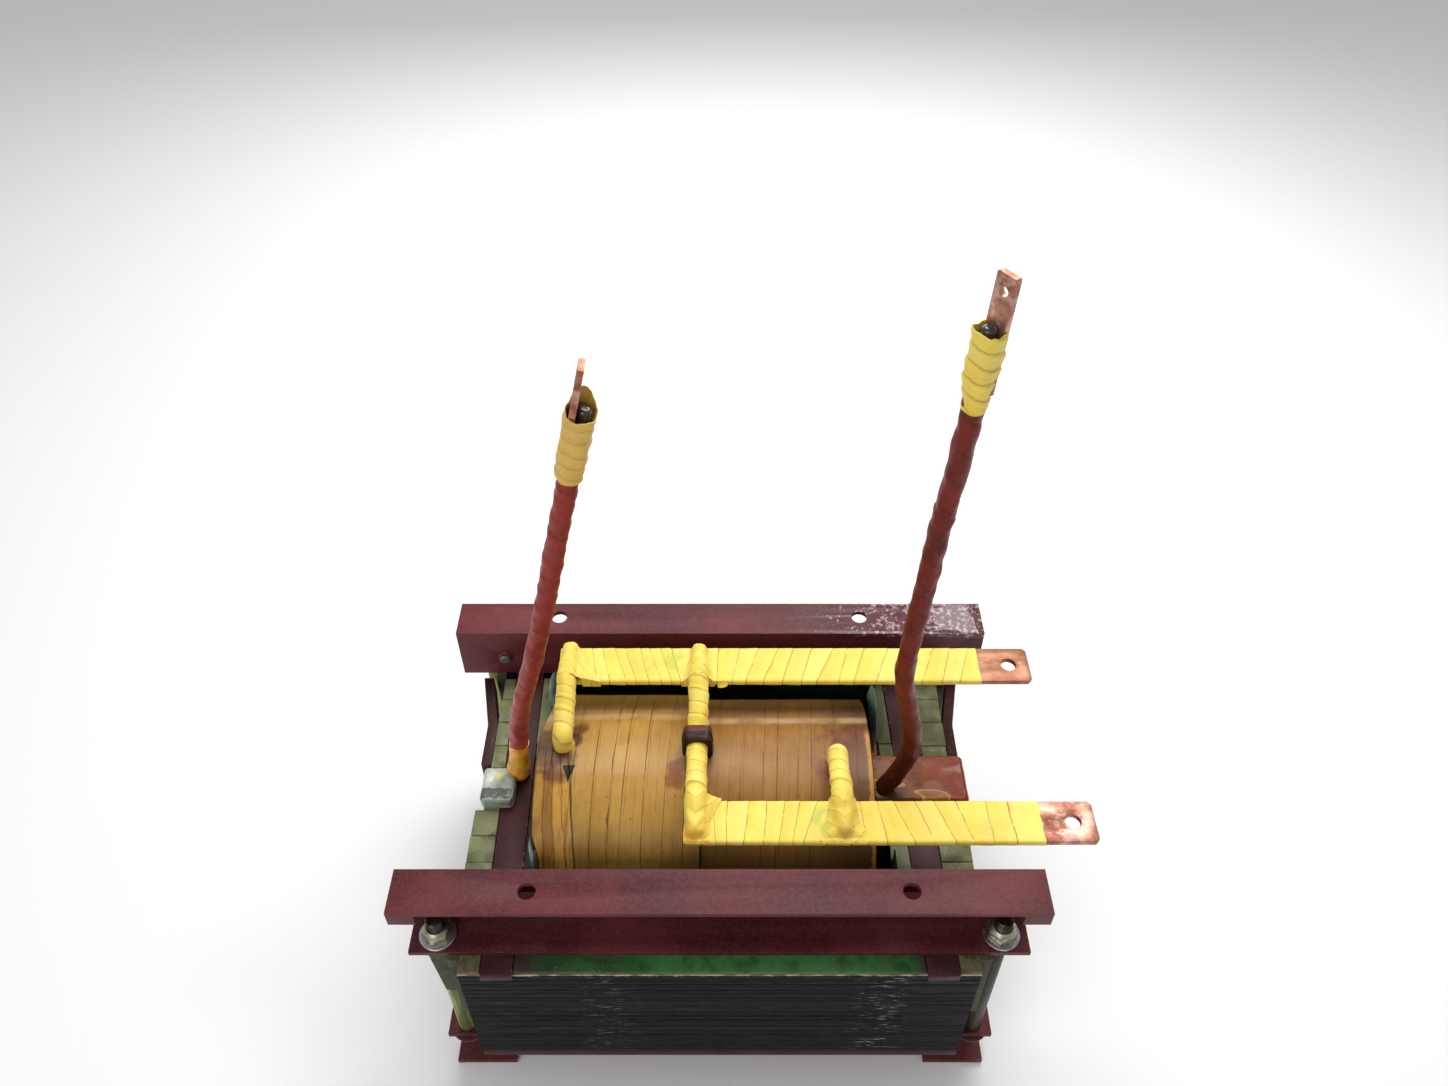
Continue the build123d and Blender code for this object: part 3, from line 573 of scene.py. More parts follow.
def coreStack():
    finish = sheetFinish()
    group = sheetStack()
    low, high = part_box("front_limb")
    inner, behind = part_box("centre_limb"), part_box("rear_limb")
    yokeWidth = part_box("left_yoke")[1].x - low.x
    depths = {
        "front_limb": (low.y, high.y),
        "rear_limb": (behind[0].y, behind[1].y),
        "centre_limb": (inner[0].y, inner[1].y),
    }
    step = (high.z - low.z) / core["packets"]
    layer = step / core["layersPerPacket"]
    for name in ("front_limb", "rear_limb", "centre_limb", "left_yoke", "right_yoke"):
        blocks = []
        for i in range(core["packets"]):
            # the outer limbs are whole in every other packet, the centre limb in those between
            outerLong = i % 2 == 0
            if name in depths:
                inset = 0 if outerLong != (name == "centre_limb") else yokeWidth
                blocks.append((i, low.x + inset, high.x - inset, *depths[name]))
                continue
            x0 = low.x if name == "left_yoke" else high.x - yokeWidth
            spans = [(high.y, behind[0].y)]
            if not outerLong:
                spans = [(low.y, inner[0].y), (inner[1].y, behind[1].y)]
            blocks += [(i, x0, x0 + yokeWidth, *span) for span in spans]
        points, sizes = [], []
        for i, x0, x1, y0, y1 in blocks:
            for k in range(core["layersPerPacket"]):
                z = low.z + i * step + (k + 0.5) * layer
                points.append(((x0 + x1) / 2, (y0 + y1) / 2, z))
                sizes += [x1 - x0, y1 - y0, layer * core["sheetShare"]]
        data = bpy.data.meshes.new(name)
        data.from_pydata(points, [], [])
        data.attributes.new("size", "FLOAT_VECTOR", "POINT").data.foreach_set("vector", sizes)
        seed = core["seed"] + len(name)
        piece = grown(name + "_sheets", data, group, Jitter=core["jitter"], Seed=seed, Finish=finish)
        settle(piece, [name])
    print("core stacked")


# Coil: turns of varnished tape

winding = {
    "seamPitch": (12, 27),
    "corner": 5 * mm,
    # the left end bulges out over the tiles, growing between these heights and towards the front
    "bulge": 8.5 * mm,
    "bulgeReach": 40 * mm,
    "bulgeHeights": (298 * mm, 322 * mm),
    "bulgeDepths": (70 * mm, 5 * mm),
    "ragged": 1.8 * mm,
    # the turns lean, but less and less this near to the ends
    "endReach": 26 * mm,
    "lean": 0.05,
    "seamStep": 0.55 * mm,
    "lump": 0.8 * mm,
    "around": 200,
    # where each turn has its rings, as shares of its width
    "profile": (0.0, 0.02, 0.07, 0.2, 0.4, 0.6, 0.8, 0.93, 0.98),
    "endInset": 0.92,
    "seed": 21,
    # where the loose strips at the left end begin and how their border slants
    "fanEdge": (-0.1985, -0.044, 0.09),
    "fanLeft": -0.236,
    "slit": (-0.2015, -0.0236, -0.0444),
    # brown patches round the foot of the rear lead and beside the binding: place, reach, colour
    "brown": (
        ((-0.230, 0.012, 0.345), 0.022, (84, 54, 34)),
        ((-0.226, -0.010, 0.345), 0.023, (78, 44, 28)),
        ((-0.218, -0.032, 0.343), 0.017, (96, 50, 30)),
        ((-0.205, -0.014, 0.346), 0.014, (66, 22, 14)),
        ((-0.194, 0.027, 0.346), 0.012, (92, 48, 26)),
        ((-0.1955, 0.010, 0.346), 0.010, (60, 28, 18)),
        ((-0.080, -0.040, 0.347), 0.014, (136, 66, 30)),
        ((-0.079, -0.024, 0.347), 0.012, (128, 66, 34)),
    ),
    "stains": {
        "rightLead": ((0.093, -0.024, 0.345), 0.032),
        "rightEnd": ((0.112, 0.020, 0.350), 0.052),
    },
}


def tapeFinish():
    f = Finish("amberTape", Coat_Roughness=0.18, Specular_IOR_Level=0.22)
    # u counts the turns of tape
    turn = f.parts(f.uv)[0] + (f.noise(26, 2) * 0.10 - 0.05)
    inside = f.math("FRACT", turn)
    number = f.math("FLOOR", turn)
    x, y, z = f.parts(f.spot)
    fibre = f.noise(26, 4, 0.65, f.place((9, 1, 1)))
    cloud = f.noise(11, 4, 0.6)
    f.ground(f.ease(cloud, 0.3, 0.7), (150, 104, 42), (190, 144, 68))
    f.lay(f.random(number) * 0.45, (168, 120, 56))
    f.lay(f.ease(fibre, 0.4, 0.75) * 0.4, (206, 164, 88))
    f.lay(f.ease(f.noise(52, 4, 0.7), 0.56, 0.75) * 0.5, (122, 78, 32))
    # the left section is more yellow, the right one browner, most of all at its end
    f.lay(f.ease(x, -0.054, -0.056) * 0.25, (196, 158, 70))
    f.lay(f.ease(x, -0.056, -0.054) * 0.45, (134, 88, 40))
    f.lay(f.ease(x + cloud * 0.05, 0.09, 0.16) * 0.75, (86, 52, 26))
    # olive where it turns down in front, and darker there as painted shade
    f.lay(f.ease(z + cloud * 0.03, 0.350, 0.30) * 0.6, (86, 66, 26))
    stain = 0.0
    for centre, radius in winding["stains"].values():
        stain = f.near(centre, radius, 0.25) + stain
    stain = stain * f.ease(f.noise(60, 3), 0.36, 0.60)
    f.lay(stain * 0.75, (112, 52, 28))
    seam = f.ease(inside, 0.0, 0.07, 1.0, 0.0) * f.ease(f.noise(48, 3), 0.28, 0.50)
    twin = f.ease(abs(inside - 0.16), 0.0, 0.022, 1.0, 0.0) * f.ease(f.noise(20, 2), 0.44, 0.54)
    twin = twin + f.ease(abs(inside - 0.58), 0.0, 0.018, 0.8, 0.0) * f.ease(f.noise(17, 3), 0.50, 0.56)
    f.lay(seam * 0.75, (76, 40, 18))
    f.lay(twin * 0.65, (88, 50, 24))
    speck = f.ease(f.cells(75), 0.10, 0.05, 0.0, 1.0) * f.ease(f.noise(40, 1), 0.5, 0.6)
    f.lay(speck * 0.7, (52, 32, 20))
    # at the left end the last strips slant away from the turns
    edgeX, edgeY, slope = winding["fanEdge"]
    left = winding["fanLeft"]
    down = edgeY - y
    border = x - edgeX - down * slope + f.noise(60, 2) * 0.002 - 0.001
    fan = f.ease(border, 0.0006, -0.0006) * f.ease(y, 0.02, -0.03)
    ray = (x - left - down * 0.13 * (x - left) * 26.0) * 105 + f.noise(30, 3) * 0.5
    strip = f.math("FRACT", ray)
    tone = f.mix(f.random(f.math("FLOOR", ray)), (150, 106, 44), (208, 160, 70))
    tone = f.mix(f.ease(f.noise(40, 4, 0.6, f.place((6, 1, 1))), 0.4, 0.7) * 0.6, tone, (140, 84, 38))
    tone = f.mix(f.ease(strip, 0.0, 0.12, 1.0, 0.0) * 0.8, tone, (84, 46, 20))
    # the same painted shade where the strips turn down in front
    tone = f.mix(f.ease(z + cloud * 0.03, 0.340, 0.28) * 0.55, tone, (104, 82, 32))
    f.lay(fan, tone)
    f.lay(f.ease(abs(border), 0.0, 0.0022, 0.85, 0.0) * f.ease(y, -0.04, -0.05), (70, 38, 20))
    for centre, radius, colour in winding["brown"]:
        f.lay(f.near(centre, radius * 1.1, 0.45, 1.6) * 0.8, colour)
    # a pale line where the wraps turn down behind, a painted highlight
    pale = f.ease(abs(y - 0.048 + (f.noise(12, 2) - 0.5) * 0.010), 0.008, 0.002, 0.0, 1.0)
    f.lay(pale * f.ease(f.noise(40, 3), 0.3, 0.6) * 0.5, (220, 182, 122))
    golden = f.ease(x + (f.noise(150, 3) - 0.5) * 0.006, 0.1335, 0.136) * f.ease(y, 0.035, 0.02)
    f.lay(golden * 0.8, (196, 142, 60))
    f.lay(f.ease(y, 0.05, 0.075) * 0.2, (112, 86, 44))
    # the slit between those strips and the first turn, with painted shade inside it
    slitX, slitRear, slitFront = winding["slit"]
    half = (y - slitFront) * 0.33 + f.noise(90, 2) * 0.002 - 0.001
    inSlit = f.ease(half - abs(x - slitX), 0.0, 0.0008) * f.ease(y, slitRear + 0.001, slitRear)
    inSlit = inSlit * f.ease(z, 0.32, 0.325)
    f.lay(inSlit, (22, 12, 8))
    f.feed("Roughness", f.ease(fibre, 0.2, 0.8, 0.30, 0.52) + seam * 0.12)
    f.feed("Coat Weight", f.ease(cloud, 0.35, 0.7, 0.04, 0.2) * (1.0 - inSlit))
    ridge = f.ease(strip, 0.0, 0.2) * fan
    f.bump(fibre * 0.55 + f.noise(90, 3) * 0.6 - seam * 0.8 + ridge * 1.4 - inSlit * 3.0, 0.5 * mm)
    return f.material


def roundedOutline(width, height, corner, count):
    # even points on a rounded rectangle in Y and Z, with their outward directions
    straightY, straightZ = width / 2 - corner, height / 2 - corner
    result = []
    for i in range(count):
        angle = 2 * math.pi * i / count - math.pi / 2
        c, s = math.cos(angle), math.sin(angle)
        y, z = math.copysign(straightY, c) + corner * c, math.copysign(straightZ, s) + corner * s
        result.append((Vector((0, y, z)), Vector((0, c, s))))
    return result


def turnPlaces(left, right, spread, rng):
    places = [left]
    while places[-1] < right - spread[1] * 1.3 * mm:
        places.append(places[-1] + rng.uniform(*spread) * mm)
    places.append(right)
    return places


def coilWraps():
    tape = tapeFinish()
    rng = random.Random(winding["seed"])
    for side in ("left", "right"):
        node = side + "_coil_wrap"
        low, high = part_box(node)
        middle = (low + high) / 2
        width, height = high.y - low.y, high.z - low.z
        outline = roundedOutline(width, height, width / 2 - winding["corner"], winding["around"])
        perimeter = math.pi * (width + height) / 2
        across = [perimeter * j / winding["around"] for j in range(winding["around"] + 1)]
        places = turnPlaces(low.x, high.x, winding["seamPitch"], rng)
        rings, along = [], []
        for k, (x0, x1) in enumerate(zip(places, places[1:])):
            skew = rng.uniform(-3, 3) * mm
            slant = rng.uniform(0, 2 * math.pi)
            rise = rng.uniform(0.6, 1.2) * winding["seamStep"]
            for t in winding["profile"] + ((1.0,) if k == len(places) - 2 else ()):
                ring = []
                for j, (point, outward) in enumerate(outline):
                    angle = 2 * math.pi * j / winding["around"]
                    atEnd = (k == 0 and t == 0.0) or (k == len(places) - 2 and t == 1.0)
                    inner = (k > 0 or t > 0) and not atEnd
                    shift = skew * math.sin(angle + slant) * (1 - t) if inner else 0.0
                    x = x0 + (x1 - x0) * t + shift
                    if atEnd:
                        ragged = winding["ragged"] * abs(rippled(outward * 0.15, 0.014, 5.0 + k))
                        x += ragged if k == 0 else -ragged
                    fromEnds = min((x - low.x) / winding["endReach"], (high.x - x) / winding["endReach"], 1.0)
                    x += winding["lean"] * point.y * max(0.0, fromEnds)
                    if side == "left":
                        # this share is the seam's rise too, so the turns are flat bands here
                        fade = max(0.0, 1 - (x - low.x) / winding["bulgeReach"])
                        rise = eased(middle.z + point.z, *winding["bulgeHeights"])
                        rise *= eased(point.y, *winding["bulgeDepths"])
                        x -= winding["bulge"] * fade * rise
                    place = Vector((x, middle.y + point.y, middle.z + point.z))
                    edge = min(t / 0.07, 1.0)
                    lift = rise * (0.35 + 0.65 * t) * edge - winding["seamStep"]
                    lift += winding["lump"] * rippled(place, 0.055, 3.1) * 0.6
                    lift += 0.3 * mm * rippled(place, 0.016, 8.2)
                    ring.append(place + outward * min(lift, 0.4 * mm))
                rings.append(ring)
                along.append(k + min(t, 0.999))
        # the end faces turn inwards to the barrier
        barrierLow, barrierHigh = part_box("winding_barrier")
        inset = (width - (barrierHigh.y - barrierLow.y)) / 2 * winding["endInset"]
        for end in (0, -1):
            inward = [point - way[1] * inset for point, way in zip(rings[end], outline)]
            if end == 0:
                rings.insert(0, inward)
                along.insert(0, along[0] - 0.6)
            else:
                rings.append(inward)
                along.append(along[-1] + 0.6)
        piece = skin(node + "_turns", rings, tape, caps=False, across=across, along=along)
        layUv(piece, lambda around, ahead: (ahead, around))
        settle(piece, [node], 60)
    print("coil wrapped")


# Taped copper bars and leads

taping = {
    "around": 56,
    "profile": (0.0, 0.03, 0.10, 0.3, 0.5, 0.7, 0.9, 0.97),
    "corner": 2.6 * mm,
    "seamStep": 0.5 * mm,
    "lump": 0.5 * mm,
    "seed": 4,
    # turns of tape along each bar: where they change, their pitch and how far they slant
    "front_bar_tape": ((0.0, 17, -0.05), (0.30, 18, 0.30), (0.46, 17, -0.15), (0.62, 21, -0.35),
                       (0.8, 22, -0.1), (1.0, 25, 0.15)),
    "rear_bar_tape": ((0.0, 14, -0.20), (0.25, 15, -0.30), (0.36, 17, 0.1), (0.48, 22, 0.35),
                      (1.0, 27, 0.40)),
    # the least width of a bar's last turn
    "lastTurn": 12 * mm,
    "copperRound": 0.6 * mm,
    # green and orange marks on the tape: place, reach, colour
    "bruises": (
        ((-0.085, 0.104, 0.375), 0.022, (176, 196, 70)),
        ((-0.118, 0.098, 0.375), 0.016, (196, 204, 70)),
        ((0.080, -0.104, 0.360), 0.026, (168, 190, 76)),
        ((0.100, -0.116, 0.364), 0.013, (208, 140, 56)),
        ((-0.060, -0.126, 0.358), 0.027, (224, 158, 44)),
        ((0.255, -0.112, 0.360), 0.020, (212, 204, 96)),
    ),
}


def copperFinish():
    f = Finish("bareCopper", Metallic=0.75)
    cloud = f.noise(45, 4, 0.6)
    smear = f.noise(28, 4, 0.7, f.place((1, 2.4, 1), (0, 0, 0.7), (0.3, 0, 0)))
    f.ground(f.ease(cloud, 0.32, 0.66), (140, 80, 62), (196, 140, 114))
    f.lay(f.ease(smear, 0.54, 0.66) * 0.7, (228, 190, 170))
    f.lay(f.ease(f.noise(90, 4, 0.7), 0.60, 0.70) * 0.6, (112, 58, 44))
    y, z = f.parts(f.spot)[1:]
    f.lay(f.ease(y, 0.02, -0.02) * f.ease(f.noise(32, 4, 0.7), 0.46, 0.58) * 0.5, (232, 196, 180))
    f.lay(f.ease(y, 0.04, 0.07) * f.ease(z, 0.5, 0.45) * 0.65, (134, 92, 66))
    f.feed("Roughness", f.ease(cloud, 0.3, 0.7, 0.5, 0.36))
    f.bump(f.noise(260, 3) * 0.4 + smear * 0.4, 0.25 * mm)
    return f.material


def yellowFinish(name, ring=False, aged=0.0):
    # u counts the turns of tape on every piece
    f = Finish(name, Sheen_Weight=0.15)
    turn = f.parts(f.uv)[0] + (f.noise(55, 2) * 0.16 - 0.08)
    inside = f.math("FRACT", turn)
    number = f.math("FLOOR", turn)
    cloud = f.noise(24, 4, 0.6)
    f.ground(f.ease(cloud, 0.3, 0.72), (238, 206, 60), (252, 228, 96))
    f.lay(f.random(number) * 0.5, (244, 198, 62))
    f.lay(f.random(number + 40.0) ** 2.0 * 0.5, (244, 234, 128))
    f.lay(f.ease(f.noise(60, 4, 0.7), 0.60, 0.78) * 0.45, (214, 172, 40))
    f.lay(f.ease(inside, 0.55, 0.62) * 0.18, (255, 238, 130))
    if ring:
        f.lay(f.ease(inside, 0.84, 1.0) * 0.5, (196, 158, 44))
    line = f.ease(inside, 0.0, 0.05, 1.0, 0.0) * f.ease(f.noise(70, 3), 0.32, 0.48)
    glow = f.ease(inside, 0.0, 0.22, 1.0, 0.0) * f.ease(f.noise(34, 3), 0.50, 0.68)
    f.lay(glow * 0.55, (226, 150, 46))
    f.lay(line * (0.6 if ring else 0.9), (92, 58, 22))
    speck = f.ease(f.cells(120), 0.12, 0.06, 0.0, 1.0) * f.ease(f.noise(50, 1), 0.56, 0.64)
    f.lay(speck * 0.6, (120, 84, 30))
    f.lay(f.ease(cloud, 0.25, 0.6, aged * 0.7, aged), (214, 166, 84))
    for centre, radius, colour in taping["bruises"]:
        mask = f.near(centre, radius, 0.35) * f.ease(f.noise(75, 3), 0.34, 0.58)
        f.lay(mask * 0.65, colour)
    f.feed("Roughness", f.ease(cloud, 0.3, 0.7, 0.52, 0.66))
    f.bump(f.noise(900, 2, 0.5) * 0.25 + f.noise(130, 3) * 0.6 - line * 0.7, 0.4 * mm)
    return f.material


def between(knots, place):
    # pitch and slant at a place along a bar
    for a, b in zip(knots, knots[1:]):
        if place <= b[0]:
            t = (place - a[0]) / (b[0] - a[0])
            return tuple(a[i] + (b[i] - a[i]) * t for i in (1, 2))
    return knots[-1][1:]


def barOutline(width, height, corner, count):
    # even points round a flat bar, with their outward directions
    sides = ((1, 1), (-1, 1), (-1, -1), (1, -1))
    raw = []
    for k, (sy, sz) in enumerate(sides):
        for i in range(7):
            angle = math.pi / 2 * (k + i / 6)
            c, s = math.cos(angle), math.sin(angle)
            raw.append((Vector((0, sy * (width / 2 - corner) + corner * c,
                                sz * (height / 2 - corner) + corner * s)), Vector((0, c, s))))
    closed = raw + raw[:1]
    lengths = [0.0]
    for a, b in zip(closed, closed[1:]):
        lengths.append(lengths[-1] + (b[0] - a[0]).length)
    result, k = [], 0
    for i in range(count):
        target = lengths[-1] * i / count
        while lengths[k + 1] < target:
            k += 1
        t = (target - lengths[k]) / max(lengths[k + 1] - lengths[k], 1e-9)
        result.append((closed[k][0].lerp(closed[k + 1][0], t), closed[k][1].lerp(closed[k + 1][1], t)))
    return result, lengths[-1]


def barTape(node, tape, rng):
    low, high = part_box(node)
    middle = (low + high) / 2
    outline, perimeter = barOutline(high.y - low.y, high.z - low.z, taping["corner"], taping["around"])
    length = high.x - low.x
    places, slants = [low.x], [0.0]
    while True:
        pitch, slant = between(taping[node], (places[-1] - low.x) / length)
        ahead = places[-1] + pitch * mm * rng.uniform(0.75, 1.25)
        if ahead > high.x - taping["lastTurn"]:
            break
        places.append(ahead)
        slants.append(slant + rng.uniform(-0.10, 0.10))
    places.append(high.x)
    slants.append(0.0)
    rings, along = [], []
    for k in range(len(places) - 1):
        rise = rng.uniform(0.6, 1.2) * taping["seamStep"]
        for t in taping["profile"] + ((1.0,) if k == len(places) - 2 else ()):
            ring = []
            for point, outward in outline:
                x0 = places[k] + slants[k] * point.y
                x1 = places[k + 1] + slants[k + 1] * point.y
                spot = Vector((x0 + (x1 - x0) * t, middle.y + point.y, middle.z + point.z))
                lift = rise * (0.3 + 0.7 * t) * min(t / 0.10, 1.0) - taping["seamStep"] * 0.6
                lift += taping["lump"] * rippled(spot, 0.022, 5.0) * 0.7
                ring.append(spot + outward * lift)
            rings.append(ring)
            along.append(k + min(t, 0.999))
    across = [perimeter * j / taping["around"] for j in range(taping["around"] + 1)]
    piece = skin(node + "_turns", rings, tape, across=across, along=along)
    layUv(piece, lambda around, ahead: (ahead, around))
    settle(piece, [node], 50)


leadWork = {
    "radius": 11.6 * mm,
    "pitch": 15 * mm,
    "step": 1.0 * mm,
    "lump": 0.9 * mm,
    "wall": 0.5 * mm,
    # how high a lead runs over the coil and over its bar's near edge, and how far in from its end it stands
    "overCoil": 15 * mm,
    "overBar": 8 * mm,
    "standIn": 12 * mm,
    # the tape drawn down over a lead: its radius in mm where it meets the bar, how far it stands off the
    # bar and hangs down before it, and its folds
    "coverRadius": 11.4,
    "standOff": 0.7 * mm,
    "hang": 8 * mm,
    "foldPitch": 3.4 * mm,
    "foldDepth": 0.8 * mm,
    "tapeWidth": 13 * mm,
    # for each lead, in mm: how far it ends before the bar's far edge and its radius there; then how far
    # the tape over it reaches left and right, at the near edge, half way and at the far edge
    "ends": {
        "rear_left_lead": (1.0, 8.4, (12, 11, 9), (38, 21, 10)),
        "rear_centre_lead": (3.5, 7.6, (20, 14, 9), (19, 13, 9)),
        "front_centre_lead": (10.0, 9.4, (13, 12, 13), (27, 15, 14)),
        "front_right_lead": (11.0, 9.0, (14, 19, 29), (15, 17, 26)),
    },
}


def wrinkled(pitch, step, lump, seed, base):
    # radius of a taped tube: each turn of tape rises a little and then drops to the next
    def radius(distance, angle):
        phase = distance / pitch + angle / (2 * math.pi) + 0.8 * noise.noise(Vector((distance * 26, seed, 0)))
        inside = phase % 1.0
        rise = step * (inside if inside < 0.88 else (1 - inside) / 0.12 * 0.88)
        rise *= 0.5 + 1.1 * abs(noise.noise(Vector((math.floor(phase) * 1.7 + 0.5, seed, 3.0))) * 2)
        spot = Vector((distance * 60, math.cos(angle) * 1.4, math.sin(angle) * 1.4 + seed))
        return base + rise - step * 0.5 + lump * noise.noise(spot)
    return radius


def leadLine(node):
    # the lead's centre line, its place across, its bar's box and whether that is the rear bar
    low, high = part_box(node)
    x = (low.x + high.x) / 2
    rear = node.startswith("rear")
    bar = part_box("rear_bar_tape" if rear else "front_bar_tape")
    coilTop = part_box("right_coil_wrap" if node == "front_right_lead" else "left_coil_wrap")[1].z
    ahead = 1 if rear else -1
    back, tip = leadWork["ends"][node][:2]
    farY = (bar[1].y if rear else bar[0].y) - ahead * back * mm
    edgeY = bar[0].y if rear else bar[1].y
    restZ = bar[1].z + tip * 0.35 * mm
    riseZ = coilTop + leadWork["overCoil"]
    edgeZ = bar[1].z + leadWork["overBar"]
    if node in ("rear_left_lead", "front_right_lead"):
        nearY = low.y + leadWork["standIn"] if rear else high.y - leadWork["standIn"]
        points = [(x, nearY, coilTop - 6 * mm), (x, nearY, coilTop + 5 * mm),
                  (x, nearY + ahead * 1 * mm, riseZ + 1 * mm), (x, nearY + ahead * 16 * mm, riseZ + 2 * mm)]
    else:
        points = [(x, low.y if rear else high.y, riseZ)]
    points.append((x, edgeY - ahead * 14 * mm, riseZ + (edgeZ - riseZ) * 0.75))
    points.append((x, edgeY + ahead * 8 * mm, edgeZ))
    points.append((x, (edgeY + farY) / 2, (edgeZ + restZ) / 2))
    points.append((x, farY, restZ))
    return smoothPath(points, 1.6 * mm), x, bar, rear


def threeWay(values, t):
    # a value between the near edge, the middle and the far edge of a bar
    first, middle, last = values
    return first + (middle - first) * t * 2 if t < 0.5 else middle + (last - middle) * (t * 2 - 1)


def drape(node, line, x, bar, rear, tape, seed):
    # tape drawn down over the lead where it lies on its bar
    ahead = 1 if rear else -1
    top = bar[1].z
    nearY, farY = (bar[0].y, bar[1].y) if rear else (bar[1].y, bar[0].y)
    depth = abs(farY - nearY)
    back, tip, toLeft, toRight = leadWork["ends"][node]
    end = depth - back * mm
    start, standOff = leadWork["coverRadius"], leadWork["standOff"]
    rings = []
    steps = [-1.2, -1.1] + [i * depth / mm / 32 for i in range(33)]
    for row, step in enumerate(steps):
        d = step * mm
        t = within(d / depth)
        spot = min(line, key=lambda p: abs(p.y - (nearY + ahead * min(d, end))))
        centre = spot.z - top
        radius = (start + (tip - start) * within(d / end)) * mm + leadWork["wall"]
        if d > end:
            radius = math.sqrt(max(radius ** 2 - ((d - end) * 1.6) ** 2, 0.0))
            centre *= max(0.0, 1 - (d - end) / (7 * mm))
        shoulder = max(centre + 0.45 * radius, 0.6 * mm)
        ring = []
        for j in range(49):
            side = j / 24 - 1
            reach = threeWay(toLeft if side < 0 else toRight, t) * mm
            across = side * abs(side) ** 0.25 * reach
            flat = within((abs(across) - 0.8 * radius) / max(reach - 0.8 * radius, 1e-5))
            tent = standOff + (shoulder - standOff) * (1 - flat) ** 1.15
            over = centre + math.sqrt(max(radius ** 2 - across ** 2, 0.0)) if abs(across) < radius else 0.0
            lift = max(over, tent)
            place = Vector((x + across, nearY + ahead * d, top + lift))
            phase = (abs(across) * 0.9 + d * 0.8) / leadWork["foldPitch"]
            fold = leadWork["foldDepth"] * math.sin(phase + 3.0 * rippled(place, 0.02, seed))
            place.z += fold * min(1.0, lift / (6 * mm)) + 0.4 * mm * rippled(place, 0.011, seed)
            place.x += 1.2 * mm * rippled(place, 0.02, seed + 4) * abs(side)
            if row == 0 and lift < leadWork["hang"]:
                place.z = top - leadWork["hang"]
            if row == len(steps) - 1:
                place.z = top - 1.5 * mm
            ring.append(place)
        rings.append(ring)
    piece = skin(node + "_cover", rings, tape, closed=False, caps=False)
    # u counts the turns over the lead, as on the tube
    places = [v.co for v in piece.data.vertices]
    for loop, uv in zip(piece.data.loops, piece.data.uv_layers[0].data):
        p = places[loop.vertex_index]
        uv.uv = ((abs(p.x - x) * 0.9 + abs(p.y - nearY) * 0.8) / leadWork["tapeWidth"] + seed, p.y)
    settle(walled(piece, leadWork["wall"], -1.0 if rear else 1.0), [], 50)


flap = {
    "fromLead": 20 * mm,
    "width": 15 * mm,
    "taper": 4 * mm,
    "drop": 8 * mm,
    "wall": 0.35 * mm,
}


def looseFlap(tape):
    # a short end of tape that hangs off the rear bar beside the middle lead
    bar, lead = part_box("rear_bar_tape"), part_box("rear_centre_lead")
    x = (lead[0].x + lead[1].x) / 2 + flap["fromLead"]
    rings = []
    for i in range(9):
        t = i / 8
        hang = max(0.0, t - 0.3) / 0.7
        back = bar[0].y + 5 * mm * max(0.0, 0.3 - t)
        ring = []
        for j in range(9):
            s = j / 8
            out = 1.0 * mm + 4.0 * mm * hang * (0.6 + 0.4 * math.sin(3 * s))
            drop = (flap["drop"] - 3 * mm * s) * hang
            ring.append(Vector((x + (flap["width"] - flap["taper"] * t) * s + 2 * mm * t,
                                back - out * hang, bar[1].z + 1.0 * mm - drop)))
        rings.append(ring)
    piece = skin("rear_bar_flap", rings, tape, closed=False, caps=False)
    settle(walled(piece, flap["wall"]), [], 50)


binding = {
    "corner": 9 * mm,
    "inset": 1.5 * mm,
    # the wraps' outline: shares of the way to the rear, and how far each stands out in mm
    "folds": ((0.0, -3.0), (0.015, -0.8), (0.16, 0.0), (0.20, 0.4), (0.36, 0.9), (0.385, 0.1), (0.50, 0.3),
              (0.525, -0.9), (0.66, -0.3), (0.70, -1.0), (0.85, -0.7), (0.97, -1.2), (1.0, -3.4)),
}


def bindingBlock():
    # varnished brown wraps that tie the two middle leads down where they cross the coil
    dark = Finish("darkBinding", Coat_Weight=0.12, Coat_Roughness=0.15, Specular_IOR_Level=0.18)
    grain = dark.noise(70, 4, 0.6, dark.place((1, 4, 1)))
    rearHalf = dark.ease(dark.parts(dark.spot)[1] + dark.noise(60, 2) * 0.006, 0.003, 0.006)
    dark.ground(rearHalf, (20, 12, 10), (92, 42, 28))
    dark.lay(dark.ease(grain, 0.4, 0.75) * 0.35, (126, 70, 46))
    dark.feed("Roughness", dark.ease(grain, 0.3, 0.7, 0.35, 0.6))
    dark.bump(grain * 0.8 + dark.noise(160, 3) * 0.4, 0.6 * mm)
    low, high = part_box("lead_binding")
    middle = (low + high) / 2
    rings = []
    outline = roundedOutline(high.x - low.x - binding["inset"], high.z - low.z, binding["corner"], 48)
    for t, grow in binding["folds"]:
        y = low.y + (high.y - low.y) * t
        ring = []
        for point, outward in outline:
            spot = Vector((middle.x + point.y, y, middle.z + point.z))
            grown = grow * mm + 0.9 * mm * rippled(spot, 0.012, 2.0)
            spot += Vector((outward.y, 0, outward.z)) * min(grown, 0.6 * mm)
            spot.y += 0.8 * mm * rippled(spot, 0.015, 6.0) if 0 < t < 1 else 0
            ring.append(spot)
        rings.append(ring)
    piece = skin("lead_binding_wraps", rings, dark.material)
    settle(piece, ["lead_binding"], 40)


